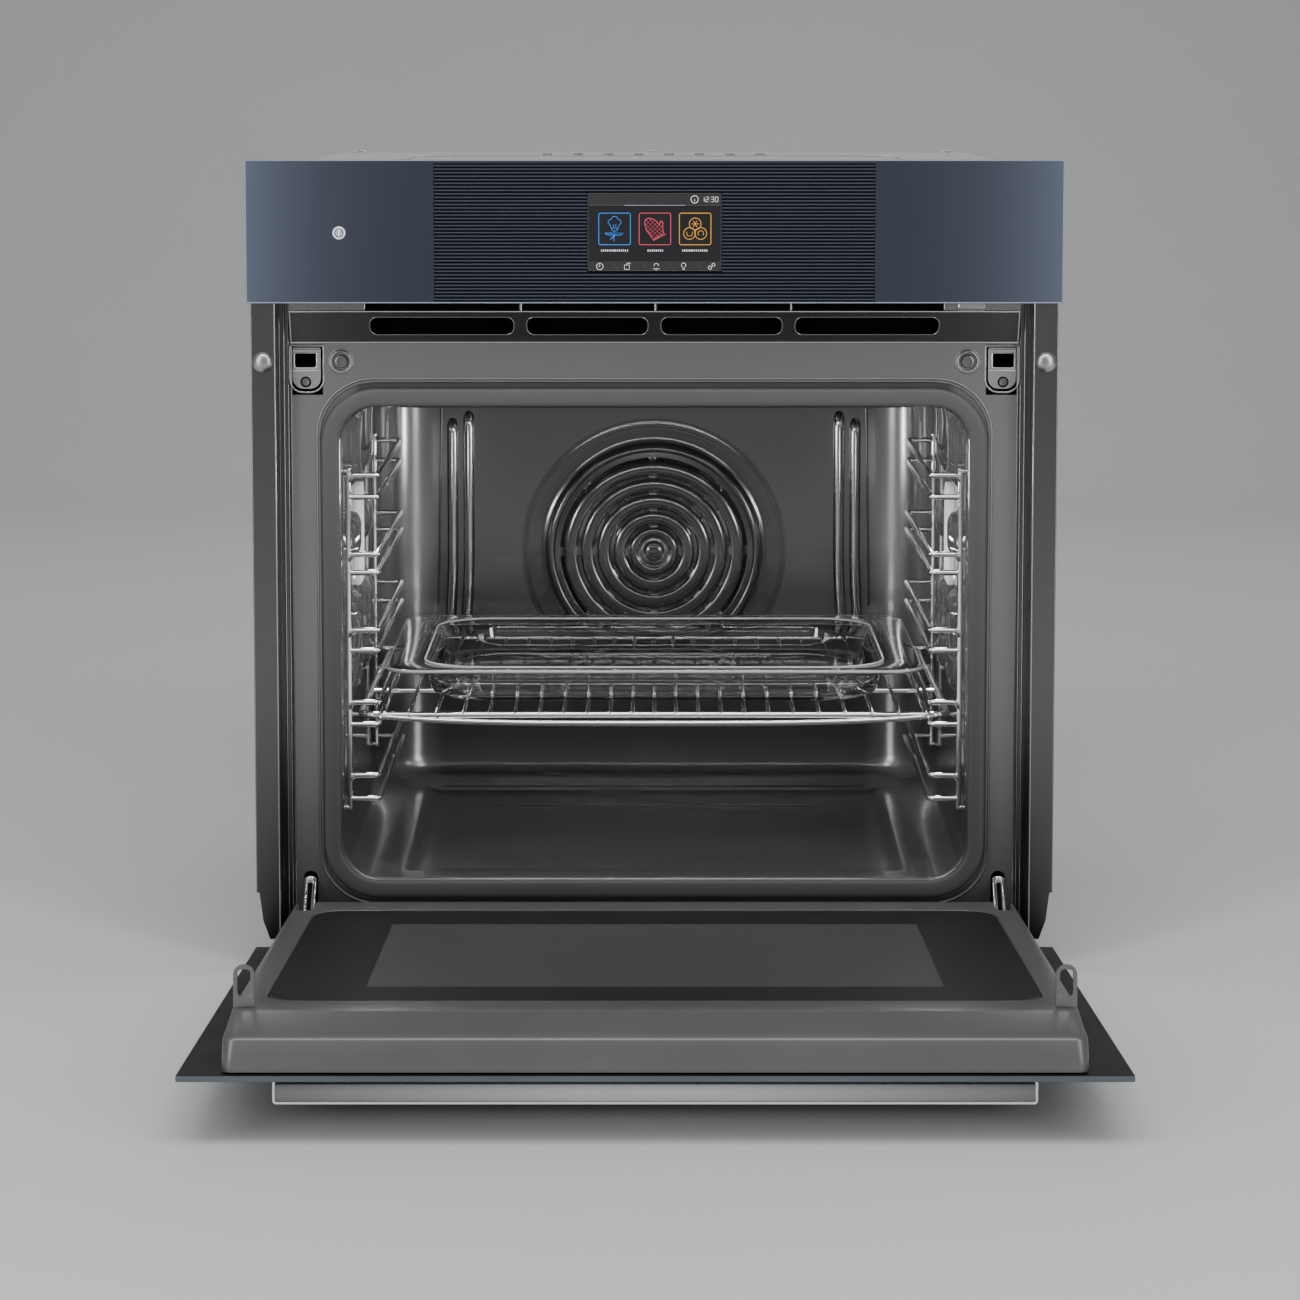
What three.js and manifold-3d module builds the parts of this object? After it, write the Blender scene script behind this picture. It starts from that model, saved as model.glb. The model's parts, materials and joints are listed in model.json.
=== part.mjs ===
// A built-in oven for a 60 cm niche, standing with its door down, as an assembly of separate parts.
// Millimetres. Inside this file X runs to the right, Y runs back from the front face of the closed
// door's glass and Z runs up from the closed door's bottom edge. The last lines move the whole
// oven to its own origin, the middle of the underside of its base.

import * as THREE from 'three';
import { mergeVertices } from 'three/addons/utils/BufferGeometryUtils.js';
import Module from 'manifold-3d';

const wasm = await Module();
wasm.setup();

// ---- Driving dimensions -------------------------------------------------------------------

const SHEET = 1.5; // steel sheet of the casing, frame and cavity
const GAP = 0.3; // air between pieces that rest on each other
const SIDES = [[-1, 'left'], [1, 'right']];

const CASING = { half: 274, bottom: 5, top: 585, front: 48.5, back: 568 };
const PANEL = { half: 298.5, bottom: 487.4, top: 592, thick: 5, back: 44, housingHalf: 271.5 };
const RIBS = { half: 161, bottom: 488.4, top: 589.4, recess: 2 };
const DISPLAY = { half: 49, bottom: 510.8, top: 568.1 };
const POWER_KEY = { x: -230, z: 538.8, radius: 5 };
const FRAME = { half: 270.7, face: 45, bottom: 20, slopeFoot: 456, slopeHead: 479.5, brow: 33, top: 485 };
const RIM = { half: 249, bottom: 34, top: 426, radius: 40 }; // opening in the front frame
const MOUTH = { half: 234, bottom: 51, top: 407, radius: 27 }; // inside of the cavity
const CAVITY_BACK = 490.5;
const FAN_SLOTS = [[78.5, 8], [64, 7], [50, 6], [35.8, 5], [22.1, 4]]; // ring radius, slots in it
const FAN_SLOT = { width: 5, bridge: 7 };
const FAN = { z: 248, coverFront: 449, rotorFront: 458, rotorBack: 480, radius: 72, blades: 12 };
const TRIM = { inner: 279, outer: 297, front: 17, cabinet: 20, foot: 46, bottom: 10, top: 584 };
const TRIM_SCREW = { x: 288.2, z: 443, radius: 7.6 };
const FRAME_SCREW = { x: 233, z: 441.4, cup: 7.3, head: 5 };
const LATCH = { near: 247, far: 269.4, bottom: 417, top: 451.8, front: 47, back: 78 };
const LATCH_MOUTH = { near: 252.6, far: 268.3, bottom: 435.7, top: 444.6 };
const BOLT = { x: 260, y: 55, radius: 3, bottom: 428, top: 436.5 };
const LATCH_SCREW = { x: 260.7, z: 423.9, hole: 1.9 };
const LATCH_LOOP = { near: 253.25, far: 266.75, z: 440.2, thick: 2.5, long: 27, rim: 2.6, radius: 6 };
const HINGE = { x: 258.9, pivotY: 13, pivotZ: 13, arm: 9, pin: 3, play: 0.06, top: 52 };
const HINGE_SLOT = { half: 5.5, bottom: 25, top: 56.5 }; // in the front frame
const HINGE_SOCKET = { half: 7, back: 112, bottom: 21.8, top: 58 };
const HINGE_NOTCH = { half: 7, cheek: 10.5, top: 50, cheekTop: 54, pinHalf: 9.5 }; // in the door
const DOOR = { half: 270.9, bottom: 6, top: 479, front: 5, inner: 39, railFoot: 451, slope: 26.8 };
const DOOR_GLASS = { half: 298.5, bottom: 2, top: 483, thick: 4 };
const INNER_GLASS = { half: 248.5, bottom: 51, top: 416, front: 35.5, thick: 3.4 };
const INNER_RECESS = { half: 249, bottom: 50.5, top: 416.5, thick: 5 };
const MIDDLE_GLASS = { half: 239.5, bottom: 62.5, top: 403.5, thick: 3.5 };
const DOOR_WINDOW = { half: 240, bottom: 62, top: 404, lip: 8 };
const HANDLE = { half: 244.5, front: -27.5, back: -12.5, bottom: 397, top: 419, post: 215 };
const OPEN_ANGLE = THREE.MathUtils.degToRad(86.18);
const RACK = { rail: 209, wall: 231, front: 75, back: 346, wire: 2.2, foot: 92, head: 374 };
const RACK_LEVELS = [[106, 124], [163, 180], [219.5, 235], [279, 293], [336.5, 353]];
const SHELF = {
  half: 223.7, front: 85, back: 440, z: 168.4, frameWire: 2.75, wire: 1.9, bowWire: 2.4,
  crossWires: [200, 325],
  pairs: 11, pitch: 16.2, spread: 0.245, // its long wires stand a little further apart towards the ends
  guardHalf: 195, guardTop: 20, bowHalf: 203,
};
const DISH = { half: 207.5, front: 100, back: 390, base: 172.6, rim: 201, end: 15, side: 28, wall: 4 };
const GRILL = { z: 400.5, leg: 60, front: 170, back: 430, outer: 200, wire: 3.2 };
const BASE_HEATER = { z: 43.4, leg: 40, half: 150, front: 140, back: 400, wire: 3 };
const RING_HEATER = { radius: 92, leg: 16, y: 470, wire: 3.2 };
const WIRE_HOLE = 4.5; // for an element's leg through a wall
const HEATER_END = 500; // depth of the elements' cold ends
const LAMP = { front: 165, back: 215, bottom: 256, top: 334, radius: 10, thick: 4 };
const BLOWER = { y: 450, z: 500, drum: 28, scroll: 38, half: 95, shaft: 4 };
const BOARD = { half: 110, front: 20, back: 21.6, bottom: 498, top: 574, chips: [-70, -20, 45], chip: 26 };
const TERMINAL = { left: -231, right: -159, front: 530, back: 567.7, bottom: 499, top: 561 };
const VENT_SLOTS = {
  spans: [[-211, -104], [-94.7, -4.7], [4.7, 94.7], [104, 211]], bottom: 461.6, top: 475.1,
};
const STRIP_SLOTS = [[-216, -100], [-98, 0], [2, 100], [102, 216]]; // under the control panel

const SIDE_VENTS = { count: 6, pitch: 18, wide: 5, y: 500, bottom: 450, top: 540 };
const TOP_VENTS = { count: 8, pitch: 26, wide: 8, front: 440, back: 520 };
const BACK_VENTS = { count: 7, pitch: 15, wide: 5, half: 60, z: 238 };

// ---- Finishes -----------------------------------------------------------------------------

const FINISHES = {
  galvanised: { color: 0x9a9c9d, roughness: 0.5, metalness: 0.9 },
  frameSteel: { color: 0x6c6c6c, roughness: 0.38, metalness: 0.85 },
  trimSteel: { color: 0x6f6f6f, roughness: 0.35, metalness: 0.9 },
  enamel: { color: 0x3c3c3c, roughness: 0.25, metalness: 0.1 },
  chrome: { color: 0xd8d8d8, roughness: 0.12, metalness: 1 },
  seal: { color: 0x3f3f3f, roughness: 0.75, metalness: 0 },
  wool: { color: 0xa39a86, roughness: 0.95, metalness: 0 },
  plastic: { color: 0x2b2b2d, roughness: 0.6, metalness: 0 },
  panelGlass: { color: 0x465062, roughness: 0.12, metalness: 0.1 },
  ribs: { color: 0x1b212d, roughness: 0.4, metalness: 0.2 },
  screen: { color: 0x2d2d2f, roughness: 0.15, metalness: 0 },
  lit: { color: 0xdfe6ee, roughness: 0.4, metalness: 0 },
  clearGlass: { color: 0xdfe8ea, roughness: 0.05, metalness: 0 },
  darkGlass: { color: 0x242424, roughness: 0.08, metalness: 0 },
  doorPaint: { color: 0x5a5a5a, roughness: 0.45, metalness: 0.3 },
  brushed: { color: 0x9a9a9a, roughness: 0.3, metalness: 0.95 },
  board: { color: 0x24553a, roughness: 0.6, metalness: 0 },
};

// ---- Geometry helpers ---------------------------------------------------------------------

const X_AXIS = new THREE.Vector3(1, 0, 0);
const Y_AXIS = new THREE.Vector3(0, 1, 0);
const Z_AXIS = new THREE.Vector3(0, 0, 1);

/** A closed three.js geometry as a solid, with collapsed triangles dropped and faces turned out. */
function solid(geometry) {
  const bare = geometry.clone();
  bare.deleteAttribute('normal');
  bare.deleteAttribute('uv');
  const merged = mergeVertices(bare, 1e-4);
  const p = merged.attributes.position;
  const corners = [];
  let volume = 0;
  for (let i = 0; i < merged.index.count; i += 3) {
    const t = [0, 1, 2].map((k) => merged.index.getX(i + k));
    if (t[0] === t[1] || t[1] === t[2] || t[2] === t[0]) continue;
    corners.push(t);
    const [a, b, c] = t.map((n) => new THREE.Vector3().fromBufferAttribute(p, n));
    volume += a.dot(b.cross(c));
  }
  const triVerts = corners.flatMap((t) => (volume < 0 ? [t[0], t[2], t[1]] : t));
  return new wasm.Manifold(new wasm.Mesh({
    numProp: 3,
    vertProperties: new Float32Array(p.array),
    triVerts: new Uint32Array(triVerts),
  }));
}

function geometryOf(body) {
  const mesh = body.getMesh();
  const geometry = new THREE.BufferGeometry();
  geometry.setAttribute('position', new THREE.BufferAttribute(new Float32Array(mesh.vertProperties), 3));
  geometry.setIndex(new THREE.BufferAttribute(new Uint32Array(mesh.triVerts), 1));
  geometry.computeVertexNormals();
  return geometry;
}

function box(x0, x1, y0, y1, z0, z1) {
  const geometry = new THREE.BoxGeometry(Math.abs(x1 - x0), Math.abs(y1 - y0), Math.abs(z1 - z0));
  return solid(geometry.translate((x0 + x1) / 2, (y0 + y1) / 2, (z0 + z1) / 2));
}

/** A round bar along one axis; u and v place it on the other two, in X, Y, Z order. */
function rod(axis, radius, from, to, u, v, sides = 16) {
  const geometry = new THREE.CylinderGeometry(radius, radius, to - from, sides);
  const middle = (from + to) / 2;
  if (axis === 'x') geometry.rotateZ(Math.PI / 2).translate(middle, u, v);
  if (axis === 'y') geometry.translate(u, middle, v);
  if (axis === 'z') geometry.rotateX(Math.PI / 2).translate(u, v, middle);
  return solid(geometry);
}

/** A turned piece about a line along Y, from [radius, y] points that start and end on the line. */
function turned(points, x, z, segments = 20) {
  const profile = points.map(([radius, y]) => new THREE.Vector2(radius, y));
  return solid(new THREE.LatheGeometry(profile, segments).translate(x, 0, z));
}

function outline(points) {
  return new THREE.Shape(points.map(([a, b]) => new THREE.Vector2(a, b)));
}

function roundedRect(a0, a1, b0, b1, radius, kind = THREE.Shape) {
  const shape = new kind();
  shape.absarc(a1 - radius, b0 + radius, radius, -Math.PI / 2, 0);
  shape.absarc(a1 - radius, b1 - radius, radius, 0, Math.PI / 2);
  shape.absarc(a0 + radius, b1 - radius, radius, Math.PI / 2, Math.PI);
  shape.absarc(a0 + radius, b0 + radius, radius, Math.PI, Math.PI * 1.5);
  shape.closePath();
  return shape;
}

function extruded(shape, depth, curveSegments) {
  return new THREE.ExtrudeGeometry(shape, { depth, bevelEnabled: false, curveSegments });
}

/** A shape drawn in X and Z, from y0 back to y1. */
function facing(shape, y0, y1, curveSegments = 3) {
  const turn = new THREE.Matrix4().makeBasis(X_AXIS, Z_AXIS, Y_AXIS.clone().negate());
  return solid(extruded(shape, y1 - y0, curveSegments).applyMatrix4(turn).translate(0, y1, 0));
}

/** A shape drawn in Y and Z, from x0 across to x1. */
function across(shape, x0, x1, curveSegments = 3) {
  const turn = new THREE.Matrix4().makeBasis(Y_AXIS, Z_AXIS, X_AXIS);
  const low = Math.min(x0, x1);
  return solid(extruded(shape, Math.abs(x1 - x0), curveSegments).applyMatrix4(turn).translate(low, 0, 0));
}

/** A shape drawn in X and Y, from z0 up to z1. */
function level(shape, z0, z1, curveSegments = 3) {
  return solid(extruded(shape, z1 - z0, curveSegments).translate(0, 0, z0));
}

/** A polyline that a section follows from corner to corner, one step for each stretch. */
class Route extends THREE.Curve {
  constructor(points) {
    super();
    this.points = points;
  }

  getPoint(t, target = new THREE.Vector3()) {
    const last = this.points.length - 1;
    const at = THREE.MathUtils.clamp(t, 0, 1) * last;
    const i = Math.min(Math.floor(at), last - 1);
    return target.lerpVectors(this.points[i], this.points[i + 1], at - i);
  }

  getPointAt(u, target) {
    return this.getPoint(u, target);
  }

  getTangentAt(u, target) {
    return this.getTangent(u, target);
  }
}

/** The points of a bent wire: each inner corner of the list becomes an arc of this radius. */
function bent(list, radius, steps = 2) {
  const corners = list.map((p) => new THREE.Vector3(...p));
  const out = [corners[0]];
  for (let i = 1; i < corners.length - 1; i++) {
    const before = corners[i - 1].clone().sub(corners[i]);
    const after = corners[i + 1].clone().sub(corners[i]);
    const angle = before.angleTo(after);
    const reach = Math.min(radius / Math.tan(angle / 2), before.length() / 2.05, after.length() / 2.05);
    const start = corners[i].clone().add(before.setLength(reach));
    const end = corners[i].clone().add(after.setLength(reach));
    const curve = new THREE.QuadraticBezierCurve3(start, corners[i], end);
    out.push(...curve.getPoints(steps));
  }
  out.push(corners[corners.length - 1]);
  return out;
}

function wire(points, radius, sides = 6) {
  const section = new THREE.Shape();
  section.absarc(0, 0, radius, 0, Math.PI * 2);
  const geometry = new THREE.ExtrudeGeometry(section, {
    steps: points.length - 1,
    extrudePath: new Route(points),
    bevelEnabled: false,
    curveSegments: sides / 2,
  });
  return solid(geometry);
}

/** Two distances from the middle as low and high X, on the left or the right side. */
function span(side, near, far) {
  return [side * near, side * far].sort((a, b) => a - b);
}

function joined(bodies) {
  return bodies.reduce((all, one) => all.add(one));
}

function cut(body, tools) {
  return tools.reduce((rest, tool) => rest.subtract(tool), body);
}

/** A closed skin through rings of rounded rectangles, each [halfX, y0, y1, z, cornerRadius]. */
function loft(rings, cornerSteps = 2) {
  const outlines = rings.map(([half, y0, y1, z, radius]) => {
    const shape = roundedRect(-half, half, y0, y1, radius);
    const points = shape.extractPoints(cornerSteps).shape.map((q) => new THREE.Vector3(q.x, q.y, z));
    const closing = points[0].distanceTo(points[points.length - 1]) < 1e-6;
    return closing ? points.slice(0, -1) : points;
  });
  const count = outlines[0].length;
  const index = [];
  for (let r = 0; r < rings.length - 1; r++) {
    for (let i = 0; i < count; i++) {
      const [a, b] = [r * count + i, r * count + ((i + 1) % count)];
      index.push(a, b, b + count, a, b + count, a + count);
    }
  }
  const cap = (ring, flip) => {
    const flat = outlines[ring].map((q) => new THREE.Vector2(q.x, q.y));
    for (const [a, b, c] of THREE.ShapeUtils.triangulateShape(flat, [])) {
      const t = flip ? [a, c, b] : [a, b, c];
      index.push(...t.map((n) => n + ring * count));
    }
  };
  cap(0, true);
  cap(rings.length - 1, false);
  const geometry = new THREE.BufferGeometry().setFromPoints(outlines.flat());
  geometry.setIndex(index);
  return solid(geometry);
}

// ---- The assembly -------------------------------------------------------------------------

const oven = new THREE.Group();
const door = new THREE.Group();
const doorParts = new THREE.Group();
oven.position.set(0, -(CASING.front + CASING.back) / 2, -CASING.bottom);
door.position.set(0, HINGE.pivotY, HINGE.pivotZ);
door.rotation.x = OPEN_ANGLE;
doorParts.position.set(0, -HINGE.pivotY, -HINGE.pivotZ);
oven.add(door);
door.add(doorParts);

function place(parent, name, finish, body) {
  const mesh = new THREE.Mesh(geometryOf(body), new THREE.MeshStandardMaterial(FINISHES[finish]));
  mesh.name = name;
  parent.add(mesh);
}

// ---- Casing -------------------------------------------------------------------------------

function ventRow({ count, pitch }, slot) {
  return Array.from({ length: count }, (_, i) => slot((i - (count - 1) / 2) * pitch));
}

function casing() {
  const { half, bottom, top, front, back } = CASING;
  const wallBottom = bottom + SHEET + GAP;
  const wallTop = top - SHEET - GAP;
  const backFace = back - SHEET;
  const through = 5; // cutters run this far past the sheet
  place(oven, 'casing_base', 'galvanised', box(-half, half, front, back, bottom, bottom + SHEET));
  for (const [side, name] of SIDES) {
    const wall = box(side * (half - SHEET), side * half, front, backFace - GAP, wallBottom, wallTop);
    const vents = ventRow(SIDE_VENTS, (dy) => box(side * (half - through), side * (half + through),
      SIDE_VENTS.y + dy, SIDE_VENTS.y + dy + SIDE_VENTS.wide, SIDE_VENTS.bottom, SIDE_VENTS.top));
    place(oven, `casing_${name}`, 'galvanised', cut(wall, vents));
  }
  const lid = box(-half, half, front, back, top - SHEET, top);
  const lidVents = ventRow(TOP_VENTS, (dx) => box(dx - TOP_VENTS.wide / 2, dx + TOP_VENTS.wide / 2,
    TOP_VENTS.front, TOP_VENTS.back, top - through, top + through));
  place(oven, 'casing_top', 'galvanised', cut(lid, lidVents));
  const rear = box(-half, half, backFace, back, wallBottom, wallTop);
  const rearVents = ventRow(BACK_VENTS, (dz) => box(-BACK_VENTS.half, BACK_VENTS.half,
    back - through, back + through, BACK_VENTS.z + dz, BACK_VENTS.z + dz + BACK_VENTS.wide));
  const socket = box(TERMINAL.left - 1, TERMINAL.right + 1, back - through, back + through,
    TERMINAL.bottom - 1, TERMINAL.top + 1);
  place(oven, 'casing_back', 'galvanised', cut(rear, [...rearVents, socket]));
}

function terminalBlock() {
  const { left, right, front, back, bottom, top } = TERMINAL;
  const middle = (left + right) / 2;
  const wells = ventRow({ count: 3, pitch: 20 }, (dx) => box(middle + dx - 8, middle + dx + 8,
    back - 15, back + 1, bottom + 13, top - 13));
  return cut(box(left, right, front, back, bottom, top), wells);
}

// ---- Front frame and side trims -----------------------------------------------------------

function ventSlots() {
  const { spans, bottom, top } = VENT_SLOTS;
  return spans.map(
    ([x0, x1]) => facing(roundedRect(x0, x1, bottom, top, 6), FRAME.brow - 5, FRAME.face + 7, 2),
  );
}

function hingeSlot(side) {
  const { half, bottom, top } = HINGE_SLOT;
  const x = side * HINGE.x;
  return roundedRect(x - half, x + half, bottom, top, half - 0.2);
}

function frontFrame() {
  const { half, face, bottom, slopeFoot, slopeHead, brow, top } = FRAME;
  const lipBack = 60;
  const section = outline([
    [face, bottom], [lipBack, bottom], [lipBack, bottom + SHEET], [face + SHEET, bottom + SHEET],
    [face + SHEET, slopeFoot], [brow + SHEET, slopeHead], [brow + SHEET, top], [brow, top],
    [brow, slopeHead], [face, slopeFoot],
  ]);
  let frame = across(section, -half, half);
  for (const [side] of SIDES) {
    const { x, z, cup } = FRAME_SCREW;
    frame = frame.add(rod('y', cup + 1.2, face, face + 4.5, side * x, z));
    frame = cut(frame, [
      rod('y', cup, face - 1, face + 2.5, side * x, z),
      rod('y', 2.4, face - 1, face + 9, side * x, z, 10),
      box(side * (LATCH.near - 0.5), side * 273, face - 3, face + 3, LATCH.bottom - 0.5, LATCH.top + 0.4),
      facing(hingeSlot(side), face - 2, face + 5, 2),
    ]);
  }
  const rim = facing(roundedRect(-RIM.half, RIM.half, RIM.bottom, RIM.top, RIM.radius), face - 3, face + 6);
  const strip = STRIP_SLOTS.map(
    ([x0, x1]) => box(x0, x1, brow - 2, brow + 1.49, slopeHead + 0.6, top + 2),
  );
  return cut(frame, [rim, ...ventSlots(), ...strip]);
}

function sideTrim(side) {
  const { inner, outer, front, cabinet, foot, bottom, top } = TRIM;
  const web = inner + SHEET;
  const cheek = outline([
    [side * inner, bottom], [side * (outer - 9.5), bottom], [side * (outer - 4.5), 24],
    [side * (outer - 1.5), foot + 2], [side * inner, foot + 2],
  ]);
  const body = joined([
    box(side * inner, side * outer, front, cabinet, foot, top),
    box(side * inner, side * web, front, 48.1, bottom, top),
    box(side * 271.2, side * web, 46.8, 48.1, bottom, top),
    facing(cheek, cabinet - 0.2, cabinet + SHEET),
  ]);
  return body.subtract(rod('y', 2.6, front - 2, cabinet + 4, side * TRIM_SCREW.x, TRIM_SCREW.z, 12));
}

function trimScrew(side) {
  const { x, z, radius } = TRIM_SCREW;
  const seat = TRIM.front - GAP;
  const profile = [[0, 34], [2.2, 32], [2.2, seat], [radius, seat], [radius, seat - 1]];
  for (let i = 1; i < 5; i++) {
    const a = (i / 5) * (Math.PI / 2);
    profile.push([radius * Math.cos(a), seat - 1 - 3.6 * Math.sin(a)]);
  }
  profile.push([0, seat - 4.6]);
  return turned(profile, side * x, z, 14);
}

function frameScrew(side) {
  const { x, z, head } = FRAME_SCREW;
  const seat = FRAME.face + 2.5 - GAP;
  return turned([[0, 60], [2, 58], [2, seat], [head, seat], [head, seat - 1.2], [head - 1.2, seat - 2.2],
    [2, seat - 2.4], [1.6, seat - 1.2], [0, seat - 1.2]], side * x, z, 12);
}

// ---- Cavity and what is in it -------------------------------------------------------------

function mouthShape(grow) {
  const { half, bottom, top, radius } = MOUTH;
  return roundedRect(-half - grow, half + grow, bottom - grow, top + grow, radius + grow);
}

function cavityShell() {
  const { half, bottom, top, radius } = RIM;
  const edge = GAP + 0.2;
  const flange = roundedRect(-half + edge, half - edge, bottom + edge, top - edge, radius - edge);
  const body = joined([
    facing(mouthShape(SHEET), FRAME.face, CAVITY_BACK + SHEET),
    facing(flange, FRAME.face, FRAME.face + SHEET),
  ]);
  const wall = [CAVITY_BACK - 5, CAVITY_BACK + 6];
  const holes = [rod('y', 6, ...wall, 0, FAN.z)];
  for (const [side] of SIDES) {
    holes.push(rod('y', WIRE_HOLE, ...wall, side * RING_HEATER.leg, FAN.z - RING_HEATER.radius, 10));
    holes.push(rod('y', WIRE_HOLE, ...wall, side * GRILL.leg, GRILL.z, 10));
    holes.push(box(side * (MOUTH.half - 3), side * (MOUTH.half + 5), LAMP.front + 5, LAMP.back - 5,
      LAMP.bottom + 6, LAMP.top - 6));
  }
  return cut(body, [facing(mouthShape(0), FRAME.face - 3, CAVITY_BACK), ...holes]);
}

function slotArc(radius, width, start, sweep) {
  const shape = new THREE.Shape();
  shape.absarc(0, FAN.z, radius + width / 2, start, start + sweep, false);
  shape.absarc(0, FAN.z, radius - width / 2, start + sweep, start, true);
  shape.closePath();
  return shape;
}

function fanCover() {
  const plate = facing(mouthShape(-0.5), FAN.coverFront, FAN.coverFront + SHEET);
  const through = [FAN.coverFront - 4, FAN.coverFront + 6];
  const tools = SIDES.map(([side]) => rod('y', WIRE_HOLE, ...through, side * GRILL.leg, GRILL.z, 10));
  for (const [radius, count] of FAN_SLOTS) {
    const step = (Math.PI * 2) / count;
    const sweep = step - FAN_SLOT.bridge / radius;
    for (let i = 0; i < count; i++) {
      tools.push(facing(slotArc(radius, FAN_SLOT.width, i * step, sweep), ...through, 2));
    }
  }
  return cut(plate, tools);
}

function sealRing() {
  const ring = mouthShape(12);
  ring.holes.push(mouthShape(3));
  return facing(ring, DOOR.inner + GAP, FRAME.face - GAP);
}

function insulation() {
  const blanket = roundedRect(-264, 264, 24, 436, 20);
  blanket.holes.push(roundedRect(-237, 237, 37, 410.5, 28, THREE.Path));
  return facing(blanket, 120, 489);
}

function grillElement() {
  const { z, leg, front, back, outer, wire: radius } = GRILL;
  const right = [[leg, HEATER_END, z], [leg, front, z], [leg + 40, front, z], [leg + 40, back - 10, z],
    [leg + 80, back - 10, z], [leg + 80, front, z], [leg + 120, front, z], [leg + 120, back, z],
    [outer, back, z], [outer, front - 20, z]];
  const left = right.map(([x, y]) => [-x, y, z]).reverse();
  return wire(bent([...right, ...left].reverse(), 14), radius);
}

function baseElement() {
  const { z, leg, half, front, back, wire: radius } = BASE_HEATER;
  const right = [[leg, HEATER_END, z], [leg, back, z], [half, back, z], [half, front, z]];
  const left = right.map(([x, y]) => [-x, y, z]).reverse();
  return wire(bent([...right, ...left], 18), radius);
}

function ringElement() {
  const { radius, leg, y, wire: thick } = RING_HEATER;
  const foot = FAN.z - radius;
  const ends = [HEATER_END + 2, y + 5];
  const points = ends.map((depth) => new THREE.Vector3(leg, depth, foot));
  const gap = Math.asin(leg / radius) + 0.06;
  const steps = 24;
  for (let i = 0; i <= steps; i++) {
    const a = -Math.PI / 2 + gap + (i / steps) * (Math.PI * 2 - 2 * gap);
    points.push(new THREE.Vector3(radius * Math.cos(a), y, FAN.z + radius * Math.sin(a)));
  }
  points.push(...ends.reverse().map((depth) => new THREE.Vector3(-leg, depth, foot)));
  return wire(points, thick);
}

function fanRotor() {
  const { z, rotorFront, rotorBack, radius, blades: count } = FAN;
  const blades = Array.from({ length: count }, (_, i) => {
    const blade = new THREE.BoxGeometry(32, rotorBack - rotorFront, 1.6);
    blade.translate(radius - 17, 0, 0).rotateY((i / count) * Math.PI * 2);
    return solid(blade.translate(0, (rotorFront + rotorBack) / 2, z));
  });
  return joined([
    rod('y', radius, rotorBack - 1.2, rotorBack, 0, z, 28),
    rod('y', 11, rotorFront + 4, rotorBack, 0, z, 16),
    rod('y', 4, rotorFront, rotorBack + 32, 0, z, 12),
    ...blades,
  ]);
}

function fanMotor() {
  const profile = [[0, 545], [34, 545], [40, 538], [40, 502], [30, 494], [5, 494], [5, 516], [0, 516]];
  return turned(profile, 0, FAN.z, 24);
}

function lampCover(side) {
  const { front, back, bottom, top, radius, thick } = LAMP;
  const inner = MOUTH.half - GAP;
  return across(roundedRect(front, back, bottom, top, radius), side * (inner - thick), side * inner, 2);
}

function rack(side) {
  const { rail, wall, front, back, wire: radius, foot, head } = RACK;
  const uprights = [front, back].map((y) => rod('z', radius, foot, head, side * wall, y, 6));
  const root = side * (wall + 1);
  const rails = RACK_LEVELS.flat().map((z) => {
    const corners = [[root, front, z], [side * rail, front, z], [side * rail, back, z], [root, back, z]];
    return wire(bent(corners, 6, 1), radius);
  });
  const lugSpan = span(side, wall - 1, MOUTH.half - GAP);
  const lugs = [front, back].flatMap((y) => [foot + 6, head - 4].map(
    (z) => rod('x', radius - 0.4, ...lugSpan, y, z, 8),
  ));
  return joined([...uprights, ...rails, ...lugs]);
}

function wireShelf() {
  const { half, front, back, z, frameWire, wire: radius } = SHELF;
  const [out, into] = [frameWire, -frameWire];
  const border = roundedRect(-half - out, half + out, front - out, back + out, 12);
  border.holes.push(roundedRect(-half - into, half + into, front - into, back + into, 9, THREE.Path));
  const bars = [level(border, z - frameWire, z + frameWire, 2)];
  for (let i = -SHELF.pairs; i <= SHELF.pairs; i++) {
    const x = Math.sign(i) * (SHELF.pitch * Math.abs(i) + SHELF.spread * i * i);
    const ends = [front - 1, back + 1].map((y) => new THREE.Vector3(x, y, z + 1.7));
    bars.push(wire(ends, radius, 4));
  }
  for (const y of SHELF.crossWires) {
    const ends = [-half, half].map((x) => new THREE.Vector3(x, y, z - 0.3));
    bars.push(wire(ends, 2.3, 4));
  }
  const { guardHalf, guardTop, bowHalf, bowWire } = SHELF;
  const [foot, top] = [[back, z], [back + 2, z + guardTop]];
  const guard = [[-guardHalf, ...foot], [-guardHalf, ...top], [guardHalf, ...top], [guardHalf, ...foot]];
  bars.push(wire(bent(guard, 8), bowWire));
  const bow = Array.from({ length: 11 }, (_, i) => {
    const u = i / 5 - 1;
    return new THREE.Vector3(bowHalf * u, front - 0.7 - 5 * (1 - u * u), z - 1.1 - 6 * (1 - u ** 4));
  });
  bars.push(wire(bow, bowWire));
  return joined(bars);
}

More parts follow.
